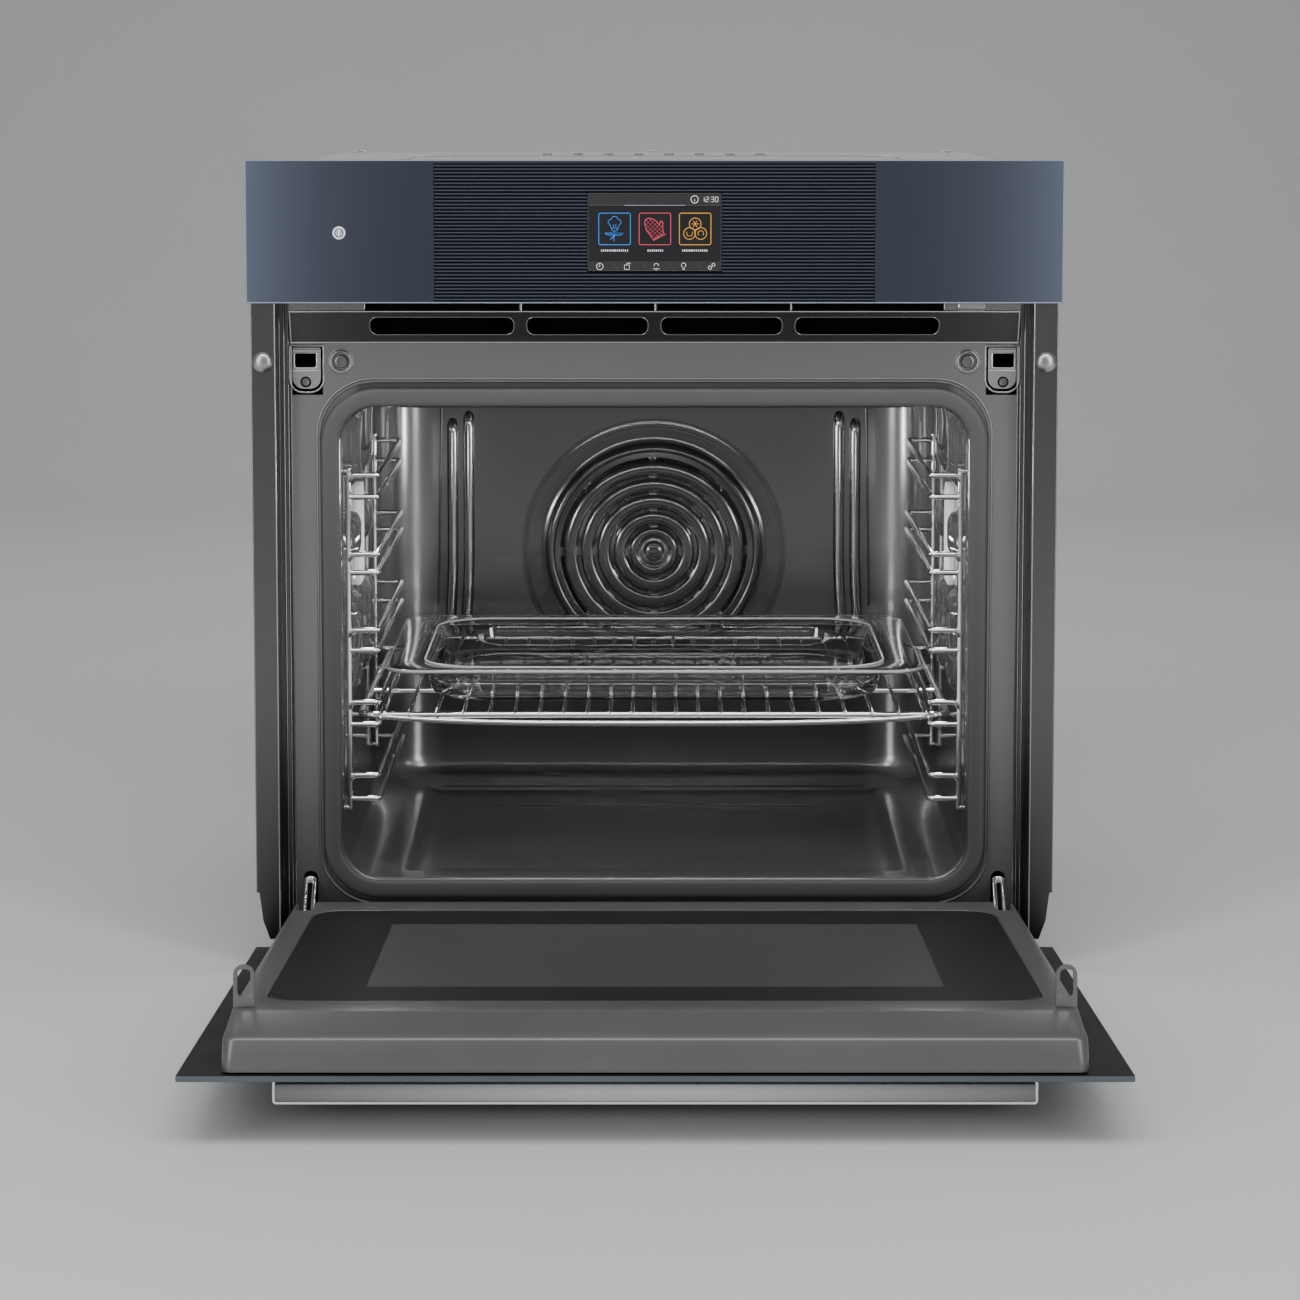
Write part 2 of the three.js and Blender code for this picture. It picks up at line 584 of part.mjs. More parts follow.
function glassDish() {
  const { half, front, back, base, rim, end, side, wall } = DISH;
  const [floorX, floorY] = [half - side - 12, end + 12];
  return loft([
    [floorX, front + floorY, back - floorY, base, 42],
    [floorX + 4, front + floorY - 4, back - floorY + 4, base + 2.5, 45],
    [half - side, front + end, back - end, rim - 6, 47],
    [half - side + 3, front + end - 3, back - end + 3, rim - wall, 42],
    [half, front, back, rim - wall, 25],
    [half, front, back, rim, 25],
    [half - side - 1, front + end + 1, back - end - 1, rim, 46],
    [half - side - 5, front + end + 5, back - end - 5, rim - wall, 44],
    [floorX - 1, front + floorY + 1, back - floorY - 1, base + 6, 41],
    [floorX - 5, front + floorY + 5, back - floorY - 5, base + 4.5, 38],
  ]);
}

// ---- Latches and hinges -------------------------------------------------------------------

function latchHousing(side) {
  const { near, far, bottom, top, front, back } = LATCH;
  const mouth = LATCH_MOUTH;
  return cut(box(side * near, side * far, front, back, bottom, top), [
    box(side * (near + SHEET), side * (far - 0.8), front + SHEET, back + 1, bottom + SHEET, top - SHEET),
    box(side * mouth.near, side * mouth.far, front - 1, front + 3, mouth.bottom, mouth.top),
    rod('y', LATCH_SCREW.hole, front - 1, front + 3, side * LATCH_SCREW.x, LATCH_SCREW.z, 8),
  ]);
}

function latchScrew(side) {
  const seat = LATCH.front - GAP;
  const profile = [[0, 51], [1.5, 50], [1.5, seat], [2.8, seat], [2.6, seat - 1], [1.4, seat - 1.7],
    [0, seat - 1.8]];
  return turned(profile, side * LATCH_SCREW.x, LATCH_SCREW.z, 12);
}

function latchBolt(side) {
  const { x, y, radius, bottom, top } = BOLT;
  return joined([
    rod('z', radius, bottom, top, side * x, y, 12),
    box(side * (x - 5), side * (x + 5), y - 3.5, y + 8, bottom - 3, bottom + 1),
  ]);
}

function hingeSocket(side) {
  const { half, back, bottom, top } = HINGE_SOCKET;
  const front = FRAME.face + SHEET + GAP;
  return cut(box(...span(side, HINGE.x - half, HINGE.x + half), front, back, bottom, top), [
    box(...span(side, HINGE.x - half + SHEET, HINGE.x + half - SHEET), front - 1, back - SHEET,
      bottom + SHEET, top - SHEET),
  ]);
}

function hingeArm(side) {
  const { x, pivotY, pivotZ, arm, pin, play, top } = HINGE;
  const tail = HINGE_SOCKET.back - 12;
  const shape = new THREE.Shape();
  shape.moveTo(tail, 30);
  shape.lineTo(46, 30);
  shape.lineTo(18.5, 8.7);
  shape.absarc(pivotY, pivotZ, 7, -0.66, -3.6, true);
  shape.lineTo(42, top);
  shape.lineTo(tail, top);
  shape.closePath();
  const plate = across(shape, side * (x - arm / 2), side * (x + arm / 2), 3);
  return plate.subtract(rod('x', pin + play, ...span(side, x - arm, x + arm), pivotY, pivotZ, 20));
}

// ---- Control panel and the space above the cavity -----------------------------------------

function panelGlass() {
  const { half, bottom, top, thick } = PANEL;
  return cut(facing(roundedRect(-half, half, bottom, top, 1.2), 0, thick, 2), [
    box(-RIBS.half, RIBS.half, -1, RIBS.recess, RIBS.bottom, RIBS.top),
    rod('y', POWER_KEY.radius + GAP, -1, 1.6, POWER_KEY.x, POWER_KEY.z, 20),
  ]);
}

function panelRibs() {
  const half = RIBS.half - GAP;
  const plate = box(-half, half, 0.2, RIBS.recess - GAP, RIBS.bottom + GAP, RIBS.top - GAP);
  return plate.subtract(box(-DISPLAY.half, DISPLAY.half, -1, 3, DISPLAY.bottom, DISPLAY.top));
}

function displayScreen() {
  const { half, bottom, top } = DISPLAY;
  return facing(roundedRect(-half + GAP, half - GAP, bottom + GAP, top - GAP, 1), 0.1, RIBS.recess - GAP, 2);
}

function panelHousing() {
  const { housingHalf: half, thick, back } = PANEL;
  const wall = 2;
  const [bottom, top] = [PANEL.bottom + 1.6, CASING.top - 2];
  return cut(box(-half, half, thick + GAP, back, bottom, top), [
    box(-half + wall, half - wall, thick + GAP + wall, back + 1, bottom + wall, top - wall),
  ]);
}

function controlBoard() {
  const { half, front, back, bottom, top, chips, chip } = BOARD;
  const middle = (bottom + top - chip) / 2;
  const packages = chips.map((x) => box(x, x + chip, back - 0.6, back + 4.4, middle, middle + chip));
  return joined([box(-half, half, front, back, bottom, top), ...packages]);
}

function blowerHousing() {
  const { y, z, scroll, half } = BLOWER;
  const shell = new THREE.Shape();
  const [start, end] = [-2.2, 2.2];
  shell.absarc(y, z, scroll + SHEET, start, end, false);
  shell.absarc(y, z, scroll, end, start, true);
  shell.closePath();
  const ends = SIDES.map(([side]) => {
    const disc = rod('x', scroll + SHEET, ...span(side, half, half + SHEET), y, z, 20);
    return disc.subtract(rod('x', BLOWER.shaft + 2, ...span(side, half - 3, half + 3), y, z, 12));
  });
  return joined([across(shell, -half - 0.5, half + 0.5, 5), ...ends]);
}

function blowerImpeller() {
  const { y, z, drum, half } = BLOWER;
  const star = Array.from({ length: 36 }, (_, i) => {
    const [radius, a] = [i % 2 ? drum : drum - 9, (i / 36) * Math.PI * 2];
    return [y + radius * Math.cos(a), z + radius * Math.sin(a)];
  });
  return joined([
    across(outline(star), -half + 4, half - 4),
    rod('x', BLOWER.shaft, -half - 12, half + 12, y, z, 12),
  ]);
}

// ---- Door ---------------------------------------------------------------------------------

/** A pane with round corners whose outer face is at a depth. */
function glassPane({ half, bottom, top, thick }, front, radius) {
  return facing(roundedRect(-half, half, bottom, top, radius), front, front + thick, 2);
}

function doorFrame() {
  const { half, bottom, front, inner, railFoot } = DOOR;
  const wall = 2;
  const w = DOOR_WINDOW;
  const top = railFoot - GAP;
  let body = box(-half, half, front, inner, bottom, top);
  const channel = box(-half + wall, half - wall, front - 1, inner - 5.6, bottom + wall, top - wall).subtract(
    box(-w.half - wall, w.half + wall, front - 2, inner, w.bottom - wall, w.top + wall),
  );
  body = cut(body, [
    channel,
    box(-w.half, w.half, front - 1, inner - 6, w.bottom, w.top),
    box(-w.half + w.lip, w.half - w.lip, front - 1, inner + 1, w.bottom + w.lip, w.top - w.lip),
    glassPane(INNER_RECESS, INNER_GLASS.front - GAP, 24),
  ]);
  const { x, pin, play, pivotY, pivotZ } = HINGE;
  const { half: notch, cheek, top: notchTop, cheekTop, pinHalf } = HINGE_NOTCH;
  for (const [side] of SIDES) {
    const bore = span(side, x - pinHalf - GAP, x + pinHalf + GAP);
    body = body.add(box(...span(side, x - cheek, x + cheek), front, inner - 5, bottom, cheekTop));
    body = cut(body, [
      box(...span(side, x - notch, x + notch), front + 0.6, inner + 1, bottom - 1, notchTop),
      rod('x', pin + play, ...bore, pivotY, pivotZ, 20),
    ]);
  }
  return body;
}

function hingePin(side) {
  const ends = span(side, HINGE.x - HINGE_NOTCH.pinHalf, HINGE.x + HINGE_NOTCH.pinHalf);
  return rod('x', HINGE.pin, ...ends, HINGE.pivotY, HINGE.pivotZ, 20);
}

function doorTopRail() {
  const { half, top, front, inner, railFoot, slope } = DOOR;
  const wall = 2;
  const section = outline([[front, railFoot], [inner, railFoot], [slope, top], [front, top]]);
  const hollow = outline([
    [front - 1, railFoot + wall], [inner - wall - 1.6, railFoot + wall], [slope - wall, top - wall],
    [front - 1, top - wall],
  ]);
  return across(section, -half, half).subtract(across(hollow, -half + wall, half - wall));
}

function handleBar() {
  const { half, front, back, bottom, top } = HANDLE;
  return across(roundedRect(front, back, bottom, top, 2.5), -half, half, 2);
}

function handlePost(side) {
  const { back, bottom, top, post } = HANDLE;
  return facing(roundedRect(side * post - 7, side * post + 7, bottom + 3, top - 3, 3), back + GAP, -GAP, 1);
}

function latchLoop(side) {
  const { near, far, z, thick, long, rim, radius } = LATCH_LOOP;
  const foot = DOOR.inner + GAP;
  const [x0, x1] = span(side, near, far);
  const tip = foot + long;
  const shape = new THREE.Shape();
  shape.moveTo(x0, foot);
  shape.lineTo(x1, foot);
  shape.absarc(x1 - radius, tip - radius, radius, 0, Math.PI / 2, false);
  shape.absarc(x0 + radius, tip - radius, radius, Math.PI / 2, Math.PI, false);
  shape.closePath();
  shape.holes.push(roundedRect(x0 + rim, x1 - rim, foot + 7, tip - 3, 2.5, THREE.Path));
  return level(shape, z - thick / 2, z + thick / 2, 2);
}

// ---- Putting it together ------------------------------------------------------------------

casing();
place(oven, 'terminal_block', 'plastic', terminalBlock());
place(oven, 'front_frame', 'frameSteel', frontFrame());
place(oven, 'cavity_shell', 'enamel', cavityShell());
place(oven, 'fan_cover', 'enamel', fanCover());
place(oven, 'cavity_seal', 'seal', sealRing());
place(oven, 'insulation_wrap', 'wool', insulation());
place(oven, 'grill_element', 'enamel', grillElement());
place(oven, 'base_element', 'enamel', baseElement());
place(oven, 'ring_element', 'enamel', ringElement());
place(oven, 'fan_motor', 'galvanised', fanMotor());
place(oven, 'fan_rotor', 'galvanised', fanRotor());
place(oven, 'panel_glass', 'panelGlass', panelGlass());
place(oven, 'panel_ribs', 'ribs', panelRibs());
place(oven, 'display_screen', 'screen', displayScreen());
place(oven, 'power_key', 'lit', rod('y', POWER_KEY.radius, 0.15, 1.3, POWER_KEY.x, POWER_KEY.z, 20));
place(oven, 'panel_housing', 'plastic', panelHousing());
place(oven, 'control_board', 'board', controlBoard());
place(oven, 'blower_housing', 'galvanised', blowerHousing());
place(oven, 'blower_impeller', 'galvanised', blowerImpeller());
place(oven, 'wire_shelf', 'chrome', wireShelf());
place(oven, 'glass_dish', 'clearGlass', glassDish());

for (const [side, name] of SIDES) {
  place(oven, `side_trim_${name}`, 'trimSteel', sideTrim(side));
  place(oven, `trim_screw_${name}`, 'chrome', trimScrew(side));
  place(oven, `frame_screw_${name}`, 'chrome', frameScrew(side));
  place(oven, `lamp_cover_${name}`, 'clearGlass', lampCover(side));
  place(oven, `rack_${name}`, 'chrome', rack(side));
  place(oven, `latch_housing_${name}`, 'galvanised', latchHousing(side));
  place(oven, `latch_screw_${name}`, 'chrome', latchScrew(side));
  place(oven, `latch_bolt_${name}`, 'chrome', latchBolt(side));
  place(oven, `hinge_socket_${name}`, 'galvanised', hingeSocket(side));
  place(oven, `hinge_arm_${name}`, 'chrome', hingeArm(side));
  place(doorParts, `hinge_pin_${name}`, 'chrome', hingePin(side));
  place(doorParts, `handle_post_${name}`, 'brushed', handlePost(side));
  place(doorParts, `latch_loop_${name}`, 'galvanised', latchLoop(side));
}

place(doorParts, 'door_outer_glass', 'darkGlass', glassPane(DOOR_GLASS, 0, 1.5));
place(doorParts, 'door_middle_glass_outer', 'clearGlass', glassPane(MIDDLE_GLASS, 12, 2));
place(doorParts, 'door_middle_glass_inner', 'clearGlass', glassPane(MIDDLE_GLASS, 22, 2));
place(doorParts, 'door_inner_glass', 'darkGlass', glassPane(INNER_GLASS, INNER_GLASS.front, 23.5));
place(doorParts, 'door_frame', 'doorPaint', doorFrame());
place(doorParts, 'door_top_rail', 'doorPaint', doorTopRail());
place(doorParts, 'handle_bar', 'brushed', handleBar());

export default oven;
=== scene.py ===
"""Looks for the built-in oven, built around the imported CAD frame. Blender 4.5, metres.

Sizes below are millimetres in the installer's coordinates: X to the right, Y back from the front
face of the control panel, Z up from the closed door's bottom edge. at() turns them into the frame's.
"""

import json
import math

import bmesh
import bpy
from mathutils import Matrix, Vector


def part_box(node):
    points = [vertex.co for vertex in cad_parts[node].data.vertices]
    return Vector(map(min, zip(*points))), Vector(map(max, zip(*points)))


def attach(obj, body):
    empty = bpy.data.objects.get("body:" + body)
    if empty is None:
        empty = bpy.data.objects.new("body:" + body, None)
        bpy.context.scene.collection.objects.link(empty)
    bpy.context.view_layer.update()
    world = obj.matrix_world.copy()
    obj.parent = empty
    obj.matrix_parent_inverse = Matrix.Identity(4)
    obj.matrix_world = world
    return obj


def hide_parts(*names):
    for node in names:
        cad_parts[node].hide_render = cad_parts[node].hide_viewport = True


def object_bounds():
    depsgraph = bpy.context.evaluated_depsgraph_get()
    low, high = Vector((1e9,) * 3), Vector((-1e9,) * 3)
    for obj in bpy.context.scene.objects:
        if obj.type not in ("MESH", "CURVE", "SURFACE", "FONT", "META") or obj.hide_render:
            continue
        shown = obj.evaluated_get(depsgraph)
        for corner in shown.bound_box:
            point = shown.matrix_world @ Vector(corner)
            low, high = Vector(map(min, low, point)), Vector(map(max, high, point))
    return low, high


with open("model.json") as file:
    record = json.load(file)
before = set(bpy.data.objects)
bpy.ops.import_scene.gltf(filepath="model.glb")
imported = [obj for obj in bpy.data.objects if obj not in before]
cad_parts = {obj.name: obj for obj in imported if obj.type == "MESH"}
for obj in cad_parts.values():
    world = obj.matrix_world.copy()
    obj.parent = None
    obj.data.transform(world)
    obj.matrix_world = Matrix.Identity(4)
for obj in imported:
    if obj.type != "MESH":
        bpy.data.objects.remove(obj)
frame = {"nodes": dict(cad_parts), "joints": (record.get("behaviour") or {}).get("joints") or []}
CAD_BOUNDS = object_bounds()
NODES = frame["nodes"]
ROOT = "oven_body"

MM = 0.001
FACE_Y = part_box("panel_glass")[0][1]
FOOT_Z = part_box("casing_base")[0][2] - 5 * MM
SIDES = ((-1, "left"), (1, "right"))
HINGE_X = 258.9
HINGE = next(j for j in frame["joints"] if j["name"] == "door_hinge")
OPEN_ANGLE = math.radians(HINGE["range_deg"][1])


def at(x, y, z):
    return Vector((x * MM, FACE_Y + y * MM, FOOT_Z + z * MM))


SWING = (
    Matrix.Translation(Vector(HINGE["pos_m"]))
    @ Matrix.Rotation(OPEN_ANGLE, 4, "X")
    @ Matrix.Translation(-Vector(HINGE["pos_m"]))
)


def on_door(x, y, z):
    """A point of the closed door, where it is at rest with the door down."""
    return SWING @ at(x, y, z)


# ---- Materials ----


def grey(value):
    return (value, value, value)


class Shader:
    """A Principled material and the few nodes that give it its detail."""

    def __init__(self, name, color, rough, metal=0.0, **sockets):
        self.material = bpy.data.materials.new(name)
        self.material.use_nodes = True
        self.tree = self.material.node_tree
        self.bsdf = self.tree.nodes["Principled BSDF"]
        self.set("Base Color", (*color, 1.0))
        self.set("Roughness", rough)
        self.set("Metallic", metal)
        for socket, value in sockets.items():
            self.set(socket.replace("_", " "), value)

    def set(self, socket, value):
        self.bsdf.inputs[socket].default_value = value

    def node(self, kind, **settings):
        made = self.tree.nodes.new(kind)
        for key, value in settings.items():
            setattr(made, key, value)
        return made

    def link(self, source, target):
        self.tree.links.new(source, target)

    def math(self, operation, a, b=0.0, clamp=False):
        made = self.node("ShaderNodeMath", operation=operation, use_clamp=clamp)
        for socket, value in zip(made.inputs, (a, b)):
            if isinstance(value, (int, float)):
                socket.default_value = value
            else:
                self.link(value, socket)
        return made.outputs[0]

    def times(self, a, b, clamp=False):
        return self.math("MULTIPLY", a, b, clamp)

    def plus(self, a, b, clamp=False):
        return self.math("ADD", a, b, clamp)

    def minus(self, a, b, clamp=False):
        return self.math("SUBTRACT", a, b, clamp)

    def share(self, value, start, width):
        """0 up to the start, rising to 1 over the width."""
        return self.math("DIVIDE", self.minus(value, start), width, True)

    def spot(self, output="Object"):
        """The X, Y and Z of a point on the object, or of its normal."""
        split = self.node("ShaderNodeSeparateXYZ")
        self.link(self.node("ShaderNodeTexCoord").outputs[output], split.inputs["Vector"])
        return split.outputs

    def coords(self, scale=(1, 1, 1)):
        place = self.node("ShaderNodeTexCoord")
        mapping = self.node("ShaderNodeMapping")
        mapping.inputs["Scale"].default_value = scale
        self.link(place.outputs["Object"], mapping.inputs["Vector"])
        return mapping.outputs["Vector"]

    def noise(self, scale, detail=3.0, stretch=(1, 1, 1)):
        made = self.node("ShaderNodeTexNoise")
        made.inputs["Scale"].default_value = scale
        made.inputs["Detail"].default_value = detail
        self.link(self.coords(stretch), made.inputs["Vector"])
        return made.outputs["Fac"]

    def ramp(self, factor, low, high, start=0.0, end=1.0):
        """Base colour from low to high while the factor goes from start to end."""
        made = self.node("ShaderNodeValToRGB")
        for element, position, color in zip(made.color_ramp.elements, (start, end), (low, high)):
            element.position = position
            element.color = (*color, 1)
        self.link(factor, made.inputs["Fac"])
        self.link(made.outputs["Color"], self.bsdf.inputs["Base Color"])

    def mottled(self, color, spread, scale=9.0):
        low = tuple(c * (1 - spread) for c in color)
        high = tuple(min(1, c * (1 + spread)) for c in color)
        self.ramp(self.noise(scale), low, high, 0.3, 0.7)

    def rough_between(self, factor, low, high):
        change = self.node("ShaderNodeMapRange")
        change.inputs["To Min"].default_value = low
        change.inputs["To Max"].default_value = high
        self.link(factor, change.inputs["Value"])
        self.link(change.outputs["Result"], self.bsdf.inputs["Roughness"])

    def bumped(self, height, strength, distance=0.0002):
        bump = self.node("ShaderNodeBump")
        bump.inputs["Strength"].default_value = strength
        bump.inputs["Distance"].default_value = distance
        self.link(height, bump.inputs["Height"])
        self.link(bump.outputs["Normal"], self.bsdf.inputs["Normal"])
        return self.material


def brushed(name, color, rough, ends, half):
    """Steel with fine lines drawn along X, with painted shade towards its two ends."""
    made = Shader(name, color, rough, 1.0)
    out = made.math("DIVIDE", made.math("ABSOLUTE", made.spot()["X"]), half, True)
    made.ramp(made.plus(made.times(out, 0.5), 0.2), color, ends, 0.3, 0.7)
    lines = made.noise(3800.0, 2.0, (0.012, 1.0, 1.0))
    made.rough_between(lines, rough * 0.88, rough * 1.14)
    return made.bumped(lines, 0.03, 0.0001)


def graded(name, low, high, height, rough, metal, slope_shade=0.0, painted_edge_light=0.0):
    """Paint or steel with painted shade, darker towards the foot and on downward slopes, and a painted
    highlight that makes it lighter at its outer edges.
    """
    made = Shader(name, grey(high), rough, metal)
    spot = made.spot()
    shade = made.math("DIVIDE", spot["Z"], height, True)
    if painted_edge_light:
        edge = made.math("POWER", made.math("DIVIDE", made.math("ABSOLUTE", spot["X"]), 0.27), 10.0)
        shade = made.plus(shade, made.times(edge, painted_edge_light))
    if slope_shade:
        slope = made.math("LESS_THAN", made.spot("Normal")["Z"], -0.2)
        shade = made.minus(shade, made.times(slope, slope_shade), True)
    made.ramp(shade, grey(low), grey(high))
    made.rough_between(made.noise(9.0), rough * 0.9, rough * 1.12)
    return made.bumped(made.noise(2600.0, 2.0), 0.015, 0.0001)


def cavity_enamel():
    """Grey enamel, glossier on the side walls and matt on the floor, with painted light: lighter down the
    back corners and on the floor, and a painted sheen on the side walls.
    """
    made = Shader("cavity_grey_enamel", (0.115, 0.115, 0.117), 0.2, 0.65, Coat_Weight=0.4)
    spot = made.spot()
    across = made.math("ABSOLUTE", spot["X"])
    # Painted light: the back corners, the side walls and the floor are made lighter in colour.
    corner = made.times(made.share(across, 0.18, 0.02), made.share(spot["Y"], 0.065, 0.03), True)
    wall = made.times(made.share(across, 0.219, 0.006), made.share(spot["Z"], 0.09, 0.04), True)
    floor = made.minus(1.0, made.share(spot["Z"], 0.055, 0.03), True)
    glow = made.plus(made.times(corner, 0.36), made.times(floor, 0.2))
    made.ramp(made.plus(glow, made.times(wall, 0.4), True), (0.11, 0.11, 0.112), grey(0.5))
    made.rough_between(made.minus(1.0, wall), 0.07, 0.2)
    return made.bumped(made.noise(120.0, 4.0), 0.03)


def sheet_metal(name, color, rough, metal, grain=900.0, depth=0.05, spread=0.06, **sockets):
    """Plain metal, paint, plastic or wool with a faint mottle and grain."""
    made = Shader(name, color, rough, metal, **sockets)
    made.mottled(color, spread)
    made.rough_between(made.noise(14.0), rough * 0.85, rough * 1.2)
    return made.bumped(made.noise(grain, 4.0), depth)


def clear_glass():
    made = Shader("oven_dish_glass", (0.985, 0.99, 0.988), 0.015, Transmission_Weight=1.0, IOR=1.47)
    made.rough_between(made.noise(22.0), 0.0075, 0.03)
    return made.bumped(made.noise(60.0, 1.0), 0.02, 0.0004)


def glowing(name, color, strength):
    made = Shader(name, color, 0.35, Emission_Strength=strength)
    made.set("Emission Color", (*color, 1))
    made.mottled(color, 0.05, 60.0)
    return made.material


def zinc():
    """Galvanised sheet with a faint spangle."""
    made = Shader("zinc_sheet", (0.42, 0.43, 0.44), 0.42, 0.9)
    cells = made.node("ShaderNodeTexVoronoi")
    cells.inputs["Scale"].default_value = 140.0
    made.link(made.coords(), cells.inputs["Vector"])
    made.ramp(cells.outputs["Color"], (0.4, 0.41, 0.42), (0.45, 0.46, 0.47), 0.3, 0.7)
    made.rough_between(cells.outputs["Distance"], 0.36, 0.44)
    return made.bumped(made.noise(500.0), 0.05)


def printed_glass():
    """The door's inner pane: black glass with a fine printed mesh over the window."""
    made = Shader("door_inner_glass_print", grey(0.006), 0.5, Specular_IOR_Level=0.08)
    spot = made.spot()
    near, far = (on_door(0, 39, height).y for height in (366, 113))
    inside_x = made.math("LESS_THAN", made.math("ABSOLUTE", spot["X"]), 188.4 * MM)
    from_middle = made.math("ABSOLUTE", made.minus(spot["Y"], (near + far) / 2))
    inside_y = made.math("LESS_THAN", from_middle, (far - near) / 2)
    waves = 2 * math.pi / (2.6 * MM)
    dots = made.times(*(made.math("SINE", made.times(spot[axis], waves)) for axis in "XY"))
    dots = made.times(made.math("GREATER_THAN", dots, 0.05), 0.45)
    ground = made.times(made.times(inside_x, inside_y), made.plus(0.55, dots))
    made.ramp(ground, grey(0.017), grey(0.078))
    return made.bumped(ground, 0.12, 0.0001)


def panel_paint():
    """Slate-blue glass, a little lighter towards its two ends: a painted reflection."""
    made = Shader("panel_slate_glass", (0.06, 0.076, 0.108), 0.3, Specular_IOR_Level=0.35)
    out = made.math("DIVIDE", made.math("ABSOLUTE", made.spot()["X"]), 0.3)
    made.ramp(made.math("POWER", out, 6.0), (0.033, 0.038, 0.053), (0.105, 0.122, 0.168))
    made.rough_between(made.noise(30.0), 0.16, 0.26)
    return made.bumped(made.noise(700.0), 0.02)


def paper():
    made = Shader("studio_paper", grey(0.72), 0.85)
    made.mottled(grey(0.72), 0.015, 1.5)
    return made.material


M = {
    "zinc": zinc(),
    # Painted shade: darker towards the bottom and on the sloped vent band, with a painted highlight towards
    # its outer sides.
    "frame": graded("front_frame_steel", 0.12, 0.31, 0.45, 0.28, 0.85, 1.3, 0.2),
    # A lighter copy of the frame's steel: painted highlights on rolled edges, lips and beads.
    "frame_fold": sheet_metal("frame_edge_glint_steel", grey(0.42), 0.22, 1.0),
    "frame_dark": sheet_metal("frame_dark_fold", grey(0.02), 0.5, 0.3),
    # Painted shade: the trims darken towards the bottom.
    "trim": graded("trim_polished_steel", 0.08, 0.25, 0.58, 0.22, 1.0),
    # Near-black and barely reflecting: painted shadow behind the vents and the slot, in the latch wells,
    # round the latch screws and in the hinge grooves.
    "void": sheet_metal("shadow_black_matt", grey(0.0035), 0.8, 0.0, Specular_IOR_Level=0.05),
    "enamel": cavity_enamel(),
    "rib": sheet_metal("back_rib_steel", grey(0.3), 0.14, 1.0, 120.0, 0.01, 0.04),
    # Glows though it is no lamp: a painted highlight on the handle's edge.
    "painted_arris": glowing("handle_edge_highlight_glow", grey(0.9), 0.3),
    "cover": sheet_metal("fan_cover_enamel", grey(0.1), 0.17, 0.8, 120.0, 0.02, 0.06),
    "chrome": sheet_metal("chrome_wire", grey(0.9), 0.07, 1.0, 60.0, 0.02, 0.02),
    "bright": sheet_metal("bright_steel", grey(0.64), 0.26, 1.0, 200.0, 0.01),
    "dome": sheet_metal("dome_screw_steel", grey(0.42), 0.33, 1.0, 200.0, 0.005),
    "screw": sheet_metal("screw_steel", grey(0.22), 0.3, 0.9, 200.0, 0.02),
    "loop": sheet_metal("latch_loop_steel", grey(0.2), 0.35, 0.8),
    # Painted shade: the seal darkens towards the bottom.
    "seal": graded("seal_grey_rubber", 0.035, 0.095, 0.42, 0.5, 0.0),
    "wool": sheet_metal("mineral_wool", (0.45, 0.42, 0.35), 0.95, 0.0, 500.0, 0.6, 0.25),
    "plastic": sheet_metal("black_moulding", (0.02, 0.02, 0.021), 0.5, 0.0, 1200.0, 0.1),
    "slate": panel_paint(),
    "panel_edge": sheet_metal("panel_ground_edge", (0.3, 0.34, 0.43), 0.25, 0.1),
    "rib_dark": sheet_metal("rib_ground", (0.0025, 0.0035, 0.007), 0.6, 0.0, Specular_IOR_Level=0.08),
    "rib_light": sheet_metal("rib_ridge", (0.046, 0.056, 0.076), 0.4, 0.0, Specular_IOR_Level=0.3),
    "screen": sheet_metal("screen_glass", (0.022, 0.022, 0.024), 0.25, 0.0, 900.0, 0.01, 0.1,
                          Specular_IOR_Level=0.3),
    "screen_bar": sheet_metal("screen_title_bar", (0.04, 0.04, 0.042), 0.3, 0.0, Specular_IOR_Level=0.3),
    "screen_line": sheet_metal("screen_grey_line", (0.13, 0.13, 0.135), 0.4, 0.0),
    "white": glowing("screen_white", (0.8, 0.82, 0.85), 0.8),
    "mark": glowing("key_mark_glow", (0.38, 0.42, 0.5), 0.35),
    "blue": glowing("screen_blue", (0.02, 0.2, 0.72), 0.75),
    "red": glowing("screen_red", (0.58, 0.05, 0.1), 0.75),
    "orange": glowing("screen_orange", (0.66, 0.3, 0.03), 0.75),
    "clear": clear_glass(),
    # Near-white and half clear: painted highlights along the dish's rim and round its well.
    "rim": sheet_metal("dish_rim_highlight", (0.75, 0.77, 0.77), 0.15, 0.0, 60.0, 0.01, 0.02,
                       Transmission_Weight=0.45),
    "lamp": glowing("lamp_cover_glow", (0.75, 0.75, 0.73), 0.35),
    "outer_glass": sheet_metal("door_glass_back", (0.01, 0.0105, 0.011), 0.5, 0.0, 40.0, 0.01, 0.12,
                               Specular_IOR_Level=0.12),
    "glass_edge": sheet_metal("door_glass_edge", (0.085, 0.1, 0.11), 0.25, 0.1, 300.0, 0.04, 0.15),
    "inner_glass": printed_glass(),
    "door_paint": sheet_metal("door_grey_paint", grey(0.128), 0.33, 0.35, 1500.0, 0.03),
    # Painted shade: the handle darkens towards its two ends.
    "handle": brushed("handle_brushed", grey(0.68), 0.26, grey(0.27), 0.24),
    "polished": sheet_metal("polished_steel", grey(0.92), 0.1, 1.0, 60.0, 0.01, 0.02),
    "board": sheet_metal("green_board", (0.02, 0.1, 0.05), 0.45, 0.0, 300.0, 0.1),
    "motor": sheet_metal("motor_case", (0.2, 0.2, 0.21), 0.4, 0.8),
    "paper": paper(),
}

# ---- Making pieces ----


